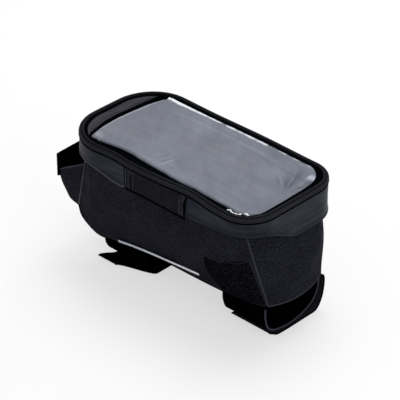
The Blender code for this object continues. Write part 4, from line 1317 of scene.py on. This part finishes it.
side_ends = [round(float(side_wall(-1, along, 1.0)[0])) for along in (0.0, 1.0)]
print("side from", side_ends[0], "to", side_ends[1], "mm")

# %% [markdown]
# The outer fabric is padded with foam, so it swells between its seams and pulls in beside them.
# Each panel starts as a fine grid on its wall with its seam edges held. The cloth solver then
# blows it up with a little pressure and slack, and a cap keeps it near the solid it stands for.


# %% Cloth solver
def settle(made, held, pressure, slack, cap, frames=16):
    """Lets a sheet swell and buckle, with the held points fixed and every move capped."""
    mesh = made.data
    rest = np.array([v.co for v in mesh.vertices])
    group = made.vertex_groups.new(name="held")
    group.add([int(index) for index in np.flatnonzero(held)], 1.0, "REPLACE")
    cloth = made.modifiers.new("cloth", "CLOTH")
    settings = cloth.settings
    settings.quality = 6
    settings.mass = 0.3
    settings.use_pressure = True
    settings.uniform_pressure_force = pressure
    settings.vertex_group_mass = "held"
    settings.shrink_min = -slack
    settings.effector_weights.gravity = 0
    cloth.collision_settings.use_collision = False
    cloth.point_cache.frame_start = 1
    cloth.point_cache.frame_end = frames
    scene = bpy.context.scene
    for number in range(1, frames + 1):
        scene.frame_set(number)
    shown = made.evaluated_get(bpy.context.evaluated_depsgraph_get())
    moved = np.array([v.co for v in shown.data.vertices])
    made.modifiers.remove(cloth)
    scene.frame_set(1)
    move = moved - rest
    length = np.linalg.norm(move, axis=1, keepdims=True)
    move = move * np.minimum(1, cap * MM / np.maximum(length, 1e-9))
    mesh.vertices.foreach_set("co", (rest + move).ravel())
    mesh.update()
    print(f"  {made.name}: settled by up to {np.abs(move).max() / MM:.1f} mm")
    return made


def edges_held(rows, columns):
    """True on the border of a grid."""
    held = np.zeros((rows, columns), bool)
    held[0] = True
    held[-1] = True
    held[:, 0] = True
    held[:, -1] = True
    return held.ravel()


SLACK = 0.012
LARGEST_MOVE = 1.6


def panel(name, grid, replaced, finish=CHARCOAL, pressure=3.0):
    """One wall of the bag as padded fabric."""
    made = sheet(name, grid, finish, levels=0)
    settle(made, edges_held(*grid.shape[:2]), pressure, SLACK, LARGEST_MOVE)
    thicken(made, 1.1)
    smooth_surface(made)
    fit(made, "bag", "charcoal_fabric", *replaced)


def wrinkled(grid, outward, amount, seed):
    """Adds soft wrinkles along a direction, none at the edges."""
    rows, columns = grid.shape[:2]
    fade = np.sin(np.linspace(0, np.pi, rows))[:, None] * np.sin(np.linspace(0, np.pi, columns))
    soft = ripple(grid, (30, 30, 22), seed) * 0.7 + ripple(grid, (9, 9, 14), seed + 2) * 0.2
    push = soft * amount * np.sqrt(np.clip(fade, 0, 1))
    return grid + np.asarray(outward) * push[..., None]


down_rows = np.linspace(0, 1, 34)[:, None]
for word, side in SIDES:
    grid = side_wall(side, even_along(90)[None], down_rows)
    grid = wrinkled(grid, (0, side, 0), 0.9, 1.0 + side)
    panel(f"{word}_side_shell", grid, (f"{word}_side_panel", f"{word}_side_foam"))
across_columns = np.linspace(-1, 1, 36)[None]
grid = wrinkled(rear_wall(across_columns, down_rows), (1, 0, 0), 0.9, 4.0)
panel("rear_shell", grid, ("rear_panel", "rear_foam"))
grid = wrinkled(front_wall(across_columns, down_rows), (-1, 0, 0), 0.6, 6.0)
panel("front_shell", grid, ("front_panel", "front_foam"))
# The base takes the near-black border cloth: painted shade on the underside.
grid = base(even_along(80)[None], np.linspace(-1, 1, 34)[:, None], 0.0)
panel("base_shell", grid, ("base_panel", "base_board"), BORDER_CLOTH, 1.0)
print("five padded panels")

# %% [markdown]
# Where two panels meet, their edges are turned and sewn, which leaves a narrow raised ridge. The ridge
# catches the light and draws the corners of the bag. A tube with a flat oval section follows each seam, and
# stitches run beside the rear ones.

# %% Seams
down_line = np.linspace(0, 1, 40)


# Seam ridges take the paler tape by default: a painted highlight.
def seam(name, route, out, width=0.8, height=0.7, finish=SEAM_HIGHLIGHT_TAPE):
    """A raised ridge where two panels are sewn together."""
    made = tube(name, route, unit(np.asarray(out, float)), width, height, finish)
    return fit(made, "bag", "charcoal_fabric")


for word, side in SIDES:
    seam(f"rear_seam_{word}", side_wall(side, 1.0, down_line), (1, side, 0))
    # The front seams take the paler hem tape: a painted highlight.
    seam(f"front_seam_{word}", side_wall(side, 0.0, down_line), (-0.5, side, 0), 1.0, 0.8, HEM_HIGHLIGHT_TAPE)
    # The seams along the lower edges are black: painted shade under the bag.
    low_edge = side_wall(side, even_along(110), 1.0)
    seam(f"base_seam_{word}", low_edge, (0, side, -0.6), 0.8, 0.8, BLACK_TAPE)
    line = side_wall(side, 0.985, np.linspace(0.02, 0.98, 40)) + np.array((0, side * 0.25, 0))
    rear_stitches = stitches(f"rear_stitches_{word}", line, (0.3, side, 0), DARK_THREAD)
    fit(rear_stitches, "bag", "charcoal_fabric")
ends = np.linspace(-1, 1, 40)
seam("rear_base_seam", rear_wall(ends, 1.0), (1, 0, -0.8))
# Black at the front's lower edge: painted shade.
seam("front_base_seam", front_wall(ends, 1.0), (-1, 0, -0.8), finish=BLACK_TAPE)
print("seams:", 8)

# %% [markdown]
# Low on each side runs a narrow reflective tape, and at the rear a patch of loop pile for the
# strap's hooks. Both are laid on the wall's own surface, a little proud of it.

# %% Stripes and loop patches
# Each end of the stripe: x along the bag, and height above the floor.
STRIPE_FRONT = (-56, 29.8)
STRIPE_REAR = (36.2, 38.6)
STRIPE_WIDTH = 2.5
# The patch's corners, front and rear, upper then lower, as shares along and down the wall.
PATCH_CORNERS = ((0.63, 0.50), (0.93, 0.30), (0.66, 0.975), (0.965, 0.975))
PATCH_BULGE = 0.016


def along_at(x):
    """The share of the side's length where its lower edge has this x."""
    fine = np.linspace(0, 1, 800)
    return np.interp(x, station(fine)[1], fine)


def make_stripe(word, side):
    """A narrow tape laid on a side wall, between two heights."""
    share = np.linspace(0, 1, 60)
    x = STRIPE_FRONT[0] + (STRIPE_REAR[0] - STRIPE_FRONT[0]) * share
    height = STRIPE_FRONT[1] + (STRIPE_REAR[1] - STRIPE_FRONT[1]) * share
    along = along_at(x)
    low = station(along)[3]
    rows = []
    for cross in (0.56, 0.19, -0.19, -0.56):
        down = (WALL_TOP - height - cross * STRIPE_WIDTH) / (WALL_TOP - low)
        rows.append(side_wall(side, along, down) + np.array((0, side * 2.1, 0)))
    made = sheet(f"{word}_stripe_tape", np.array(rows), REFLECTIVE, thickness=0.5)
    fit(made, "bag", "reflective_tape", f"{word}_stripe")


def make_patch(word, side):
    """A patch of loop pile on a side wall, raised inside its bound edge."""
    top_front, top_rear, low_front, low_rear = (np.array(c) for c in PATCH_CORNERS)
    along = np.linspace(0, 1, 44)[None, :, None]
    down = np.linspace(0, 1, 34)[:, None, None]
    top = top_front * (1 - along) + top_rear * along
    low = low_front * (1 - along) + low_rear * along
    place = top * (1 - down) + low * down
    bulge = PATCH_BULGE * np.sin(np.pi * down[..., 0]) * (1 - along[..., 0])
    grid = side_wall(side, place[..., 0] - bulge, place[..., 1])
    pile_height = ripple(grid, 2.2, 5.0) * 0.25 + ripple(grid, 6, 2.0) * 0.3
    rim = np.minimum(np.minimum(along, 1 - along), np.minimum(down, 1 - down))[..., 0]
    grid[..., 1] += side * (1.0 + (0.7 + pile_height) * ease(rim, 0, 0.04))
    made = sheet(f"{word}_loop_pile", grid, LOOP_PILE, thickness=1.0)
    fit(made, "bag", "loop_fabric", f"{word}_loop_patch")
    border_line = np.vstack([grid[0], grid[1:, -1], grid[-1, -2::-1], grid[-2:0:-1, 0]])
    edge = tube(f"{word}_patch_edge", border_line, (0, side, 0), 0.5, 0.45, RIM_TAPE, 8, closed=True)
    fit(edge, "bag", "loop_fabric")


for word, side in SIDES:
    make_stripe(word, side)
    make_patch(word, side)
print("stripes and patches:", 4)

# %% [markdown]
# With the lid open one looks into a grey lining. It is sewn from the same walls, set in by the
# thickness of the padding, and it hangs loosely, with more wrinkles than the outside.

# %% Lining
LINING_DEPTH = 6.1


def loose(grid, inward, seed):
    """Lets a grid hang away from its wall in wrinkles, none at the top."""
    fade = ease(np.linspace(0, 1, len(grid)), 0, 0.15)[:, None]
    soft = ripple(grid, (18, 18, 14), seed) * 0.8 + ripple(grid, (6, 6, 10), seed + 3) * 0.35
    return grid + np.asarray(inward) * (np.abs(soft) * 1.2 * fade)[..., None]


def line_wall(word, grid, inward, seed):
    """One panel of the lining."""
    made = sheet(f"lining_{word}", loose(grid, inward, seed), LINING_CLOTH, 0.5)
    fit(made, "bag", "grey_lining", "lining_tub")


rows_down = np.linspace(0, 1, 24)[:, None]
columns_along = even_along(70, 0.02, 0.98)[None]
for word, side in SIDES:
    grid = side_wall(side, columns_along, rows_down, LINING_DEPTH)
    line_wall(word, grid, (0, -side, 0), 2.0 + side)
columns_across = np.linspace(-0.97, 0.97, 30)[None]
grid = rear_wall(columns_across, rows_down, LINING_DEPTH)
line_wall("rear", grid, (-1, 0, 0), 5.0)
grid = front_wall(columns_across, rows_down, LINING_DEPTH)
line_wall("front", grid, (1, 0, 0), 8.0)
grid = base(even_along(70)[None], np.linspace(-1, 1, 30)[:, None], LINING_DEPTH)
line_wall("floor", grid, (0, 0, 1), 11.0)
print("lining panels:", 5)

# %% [markdown]
# The zip runs round three sides, from one end of the hinge to the other. Each half is a woven tape
# with a coil of plastic turns. A turn is modelled as a small rounded link, one every millimetre and
# a half, and the two rows of links face each other across the slider's gap.

# %% Zip
ZIP_INSET = 7.5
COIL_PITCH = 1.5
# How far below the lid's top the tapes begin and end, and where the two rows of links lie.
LID_TAPE = (6.5, 9.6)
BAG_TAPE = (16.4, 22.4)
LID_LINKS = 11.0
BAG_LINKS = 15.0
# The lid's links begin behind the slider, further back than the bag's.
LID_LINKS_START = 52
# A link's three levels: its height, half its depth and half its length along the zip.
LINK_LEVELS = ((-0.9, 0.75, 0.3), (0.2, 1.05, 0.42), (1.0, 0.7, 0.5))
LINK_CORNERS = ((-1, -1), (1, -1), (1, 1), (-1, 1))


def zip_line(drop, start=HINGE_REAR):
    """A line round the bag inside the skirt, with its outward directions."""
    points, normals = rim_walk(start, HINGE_FRONT)
    line = np.c_[points - normals * ZIP_INSET, np.full(len(points), TOP - drop)]
    line[:, 0] += LID_X
    return line, np.c_[normals, np.zeros(len(normals))]


def zip_tape(name, top, low, body, node):
    """The woven tape of one half of the zip, between two drops."""
    line, _ = zip_line(top)
    share = np.linspace(0, 1, 6)[:, None]
    grid = grid_of(line[:, 0], line[:, 1], TOP - (top + (low - top) * share))
    made = sheet(name, grid, ZIP_TAPE, thickness=0.6)
    fit(made, body, "charcoal_fabric", node)


def zip_coil(name, drop, body, node, start=HINGE_REAR, facing=1.0):
    """Small links along the tape, with a rib behind them."""
    line, normals = zip_line(drop, start)
    fine = even(np.hstack([line, normals]), COIL_PITCH)
    tangent = unit(np.gradient(fine[:, :3], axis=0))
    up = np.array((0, 0, facing))
    points = []
    faces = []
    for centre, out, ahead in zip(fine[:, :3], unit(fine[:, 3:]), tangent):
        first = len(points)
        for lift, across, along in LINK_LEVELS:
            for a, b in LINK_CORNERS:
                points.append(centre + out * across * a + ahead * along * b + up * lift)
        for row in (0, 4):
            for corner in range(4):
                here = first + row + corner
                beside = first + row + (corner + 1) % 4
                faces.append((here, beside, beside + 4, here + 4))
        faces.append(tuple(first + corner for corner in (3, 2, 1, 0)))
        faces.append(tuple(first + corner for corner in (8, 9, 10, 11)))
    made = new_mesh(name, points, faces, COIL)
    fit(made, body, "zip_coil", node)
    rib = tube(f"{name}_cord", line + np.array((0, 0, -0.6 * facing)), (0, 0, 1), 0.75, 0.4, COIL, 8)
    fit(rib, body, "zip_coil")


zip_tape("zip_tape_lid", *LID_TAPE, "lid", "upper_zip_tape")
zip_tape("zip_tape_bag", *BAG_TAPE, "bag", "lower_zip_tape")
zip_coil("zip_coil_lid", LID_LINKS, "lid", "upper_zip_teeth", LID_LINKS_START, -1.0)
zip_coil("zip_coil_bag", BAG_LINKS, "bag", "lower_zip_teeth")
print("zip of", round(len(zip_line(LID_LINKS)[0]) * STEP), "mm")

# %% [markdown]
# The slider's solid already has its true channels, so it stays and gets a painted metal finish.
# The soft pull is made again with ribs for the fingers.

# %% Slider and pull
keep_solid("zip_slider", SLIDER_METAL, 0.25, 2)


def make_pull():
    """A soft grip with rounded corners and ribs across its faces."""
    low, high = (np.array(corner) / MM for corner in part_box("zip_pull"))
    xs = np.linspace(low[0], high[0], 60)
    middle = (low + high) / 2
    half_height = (high[2] - low[2]) / 2
    half_thick = (high[1] - low[1]) / 2
    share = (xs - low[0]) / (high[0] - low[0])
    height = half_height * (0.62 + 0.38 * np.sqrt(np.clip(1 - (2 * share - 1) ** 4, 0.05, 1)))
    ribs = 0.18 * np.maximum(np.sin((xs - low[0]) * 2.2), 0) * bell(share, 0.4, 0.28)
    turn = np.linspace(0, 2 * math.pi, 16, endpoint=False)
    wide = np.sign(np.cos(turn)) * np.abs(np.cos(turn)) ** 0.6
    tall = np.sign(np.sin(turn)) * np.abs(np.sin(turn)) ** 0.6
    y = middle[1] + wide * (half_thick * 0.8 + ribs[:, None])
    z = middle[2] + tall * height[:, None]
    return swept("zip_pull_grip", grid_of(xs[:, None], y, z), RUBBER, levels=1)


fit(make_pull(), "slider", "rubber", "zip_pull")

# %% [markdown]
# Two straps hang under the bag and lie open on the floor. Each has a loop that is sewn to the
# base and a flap with hooks outside it. They are brushed webbing: nearly black, fuzzy on one face,
# with a woven edge that catches the light. Their routes repeat the solids' own.

# %% Straps
# Each strap's front and rear edge along the bag, and how much higher its rear edge starts.
EXTENTS = {"rear": (57, 103), "front": (-75, -29)}
RISES = {"rear": 3.5, "front": 3.3}
TAIL_TAPER = (20, 36)
TAIL_SPREAD = 8
TAIL_CUT = 34
# Routes are points across the bag: y, then height above the floor.
REAR_LOOP = ((-31.5, 29.7), (-31, 21), (-26, 11), (-13, 5.8), (6, 5.4), (23, 11), (31.2, 20), (33, 29.7))
REAR_FLAP = ((35.5, 29.7), (39.2, 27.5), (39.8, 21), (36.6, 9), (29, 1), (12, 1), (-6, 1), (-21, 2))
REAR_HOOKS = ((20, 2.8), (0, 2.8), (-12, 2.9), (-19.5, 3.6))
FRONT_LOOP = ((-35, 24.5), (-33.5, 17), (-27, 9), (-14, 5.4), (6, 5.4), (23, 9.5), (31.5, 17), (33.5, 24.5))
FRONT_FLAP = ((36.1, 24.5), (35.6, 17), (33, 7), (27, 1), (5, 1), (-16, 1), (-24, 1), (-36, 1.6))
FRONT_HOOKS = ((20, 2.8), (0, 2.8), (-18, 2.8))
STRAP_THICKNESS = 2


def strap_grid(route, extent, rise, columns=26, tail=False, floor=STRAP_THICKNESS / 2, rounding=0):
    """Points along a strap, from its front edge to its rear edge."""
    line = curve([(0, y, z) for y, z in route], 2.0)
    y = line[:, 1]
    z = np.maximum(line[:, 2], floor)
    taper = ease(-y, *TAIL_TAPER) if tail else np.zeros(len(y))
    front = extent[0] - TAIL_SPREAD * taper
    rear = extent[1] - TAIL_CUT * taper - rounding * ease(-y, 15, 21) ** 2
    slope = rise * ease(z, z.max() / 2, z.max())
    share = np.linspace(0, 1, columns)
    x = LID_X + front[:, None] * (1 - share) + rear[:, None] * share
    return grid_of(x, y[:, None], z[:, None] + slope[:, None] * share)


def brushed(grid, seed):
    """Lets a strap waver a little, least where it lies on the floor."""
    soft = ripple(grid, 12, seed) * 0.2 + ripple(grid, 2.6, seed + 4) * 0.1
    lift = ease(grid[..., 2], STRAP_THICKNESS / 2, STRAP_THICKNESS * 2)
    shaped = grid.copy()
    shaped[..., 2] += np.abs(soft) * 0.6
    shaped[..., 1] += soft * lift * 0.6
    return shaped


def strap_edges(name, grid, finish):
    """The woven edge on both sides of a strap."""
    edges = []
    for word, column, out in (("front", 0, -1), ("rear", -1, 1)):
        made = tube(f"{name}_edge_{word}", grid[:, column], (out, 0, 0), 0.95, 0.5, finish, 8)
        edges.append(fit(made, "bag", "strap_webbing"))
    return edges


# End, kind, route, own shape, finish, finish of its edges, seed, length and area of the cut.
STRAPS = (
    ("rear", "loop", REAR_LOOP, {}, STRAP_PILE, SEAM_HIGHLIGHT_TAPE, 1.0, 100, 4480),
    ("rear", "flap", REAR_FLAP, {"rounding": 5}, WEBBING, BLACK_TAPE, 3.0, 90, 3980),
    ("front", "loop", FRONT_LOOP, {}, STRAP_PILE, BLACK_TAPE, 5.0, 95, 4230),
    ("front", "flap", FRONT_FLAP, {"tail": True}, STRAP_PILE, BLACK_TAPE, 7.0, 116, 4010),
)
for end, kind, route, shape, finish, edging, seed, length, area in STRAPS:
    grid = brushed(strap_grid(route, EXTENTS[end], RISES[end], **shape), seed)
    strap = sheet(f"{end}_strap_{kind}_web", grid, finish, thickness=STRAP_THICKNESS * 0.85)
    fit(strap, "bag", "strap_webbing", f"{end}_strap_{kind}")
    edges = strap_edges(f"{end}_{kind}", grid, edging)
for end, route in (("rear", REAR_HOOKS), ("front", FRONT_HOOKS)):
    grid = strap_grid(route, (EXTENTS[end][0] + 4, EXTENTS[end][1] - 4), 0, 22, floor=2.6)
    grid[..., 2] += np.abs(ripple(grid, 1.6, 2.0)) * 0.4
    hooks = sheet(f"{end}_hooks", grid, HOOKS, thickness=0.9)
    fit(hooks, "bag", "hook_tape", f"{end}_hook_pad")
print("straps:", len(STRAPS))

# %% [markdown]
# At the front a fabric wing grows from each seam, and a band of brushed webbing joins the two
# round the head tube.

# %% Head strap
FRONT_REACH = 127
BAND_HALF = 41
BAND_LOW = 65
BAND_HIGH = 87
BAND_SAG = 5.0
# The wing's upper and lower edge, from the seam forward.
WING_TOP = ((-96.6, 36.9, 87), (-108.1, 38.5, 80.5), (-116.9, 38.6, 75.5), (-124, 38, 71))
WING_LOW = ((-101.3, 40, 46.5), (-111.7, 39.4, 50), (-119.7, 38.8, 59.5), (-124, 38, 66))


def between(first, second, rows, count):
    """A grid between two soft lines."""
    lines = []
    for points in (first, second):
        dense = curve(points, 0.5)
        number = np.arange(len(dense))
        pick = np.linspace(0, len(dense) - 1, count)
        lines.append(np.stack([np.interp(pick, number, dense[:, axis]) for axis in range(3)], 1))
    share = np.linspace(0, 1, rows)[:, None, None]
    return lines[0][None] * (1 - share) + lines[1][None] * share


for word, side in SIDES:
    grid = between(WING_TOP, WING_LOW, 26, 22) * np.array((1, side, 1)) + np.array((LID_X, 0, 0))
    grid[..., 1] += ripple(grid, (9, 9, 16), 3.0 + side) * 0.7
    made = sheet(f"head_wing_{word}", grid, CHARCOAL, thickness=1.8)
    fit(made, "bag", "charcoal_fabric", f"head_strap_{word}_wing")
    for name, line in (("top", grid[0]), ("low", grid[-1])):
        seam(f"head_wing_{word}_{name}", line, (0, side, 0), 0.7, 1.1)


def make_head_band():
    """The band between the wings: bowed forward, with a lower edge that sags in the middle."""
    ys = np.linspace(-BAND_HALF, BAND_HALF, 50)
    heights = np.linspace(BAND_LOW, BAND_HIGH, 20)[:, None]
    out = (ys / BAND_HALF) ** 2
    sag = BAND_SAG * (1 - out)
    x = LID_X - FRONT_REACH + 0.9 + 0.9 * out
    grid = grid_of(x, ys, heights - sag * np.linspace(1, 0, 20)[:, None])
    grid[..., 0] += np.abs(ripple(grid, 3, 9.0)) * 0.3
    return sheet("head_band_web", grid, STRAP_PILE, thickness=1.6)


head_band = make_head_band()
fit(head_band, "bag", "strap_webbing", "head_strap_band")
print("head strap: two wings and a band of", BAND_HIGH - BAND_LOW, "mm")

# %% [markdown]
# Under the base a rubber pad keeps the bag from sliding on the tube. Its solid has the right
# shape, so it stays, with a grained finish and a soft edge.

# %% Grip pad
keep_solid("grip_pad", RUBBER, 0.5, 3)
print("grip pad:", len(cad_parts["grip_pad"].data.vertices), "points")

# %% [markdown]
# The photograph has a plain white background and broad soft light from above. The world gives a
# plain level all round, two large lamps shape the folds, and the floor keeps the bag's shadow
# while the camera sees it as white.


# %% Floor, world and lamps
FLOOR_HALF = 2000
FLOOR_DROP = 0.2


def floor_finish():
    """White paper for the camera, and a surface that takes shadows for all other light."""
    finish = Finish("floor", Roughness=0.9)
    x, y, _ = finish.place()
    share = finish.cloud(x / 200, y / 200)
    finish.feed("Base Color", finish.mix(share, (0.86, 0.86, 0.86, 1), (0.9, 0.9, 0.9, 1)))
    camera = finish.node("ShaderNodeLightPath", output="Is Camera Ray")
    white = finish.node("ShaderNodeEmission", None, {"Color": (1, 1, 1, 1), "Strength": 1.0}, "Emission")
    surface = Wire(finish, finish.shader.outputs["BSDF"])
    both = finish.node("ShaderNodeMixShader", None, {0: camera * 0.6, 1: surface, 2: white}, "Shader")
    finish.tree.links.new(both.socket, finish.tree.nodes["Material Output"].inputs["Surface"])
    return finish.material


def make_floor():
    """A wide square just under the bag. It is staging, so it belongs to no body."""
    corners = [(x * FLOOR_HALF, y * FLOOR_HALF, 0) for x, y in ((-1, -1), (1, -1), (1, 1), (-1, 1))]
    made = new_mesh("floor", corners, [(0, 1, 2, 3)], floor_finish())
    made.location.z = -FLOOR_DROP * MM


def make_world(level):
    """A white world: full strength where the camera sees it, and level as a light."""
    world = bpy.data.worlds.new("studio")
    world.use_nodes = True
    nodes = world.node_tree.nodes
    links = world.node_tree.links
    background = nodes["Background"]
    background.inputs["Color"].default_value = (1, 1, 1, 1)
    path = nodes.new("ShaderNodeLightPath")
    seen = nodes.new("ShaderNodeMath")
    seen.operation = "MAXIMUM"
    links.new(path.outputs["Is Camera Ray"], seen.inputs[0])
    links.new(path.outputs["Is Transmission Ray"], seen.inputs[1])
    strength = nodes.new("ShaderNodeMapRange")
    strength.inputs["To Min"].default_value = level
    strength.inputs["To Max"].default_value = 1.0
    links.new(seen.outputs[0], strength.inputs["Value"])
    links.new(strength.outputs[0], background.inputs["Strength"])
    bpy.context.scene.world = world


def add_lamp(name, place, size, power):
    """A rectangular lamp that points at the lid."""
    data = bpy.data.lights.new(name, "AREA")
    data.shape = "RECTANGLE"
    data.size, data.size_y = size
    data.energy = power
    made = bpy.data.objects.new(name, data)
    bpy.context.scene.collection.objects.link(made)
    made.location = place
    made.rotation_mode = "QUATERNION"
    made.rotation_quaternion = (LID_MIDDLE - Vector(place)).to_track_quat("-Z", "Y")


# Each lamp: its place and size in metres, and its power in watts.
LAMPS = (
    ("top_softbox", (-0.2, 0.5, 1.5), (1.0, 1.0), 16),
    ("rear_softbox", (1.4, -0.3, 0.9), (0.9, 0.7), 4),
)
WORLD_LEVEL = 0.55
make_floor()
make_world(WORLD_LEVEL)
for name, place, size, power in LAMPS:
    add_lamp(name, place, size, power)
bpy.context.scene.view_settings.view_transform = "Standard"
print("stage ready")
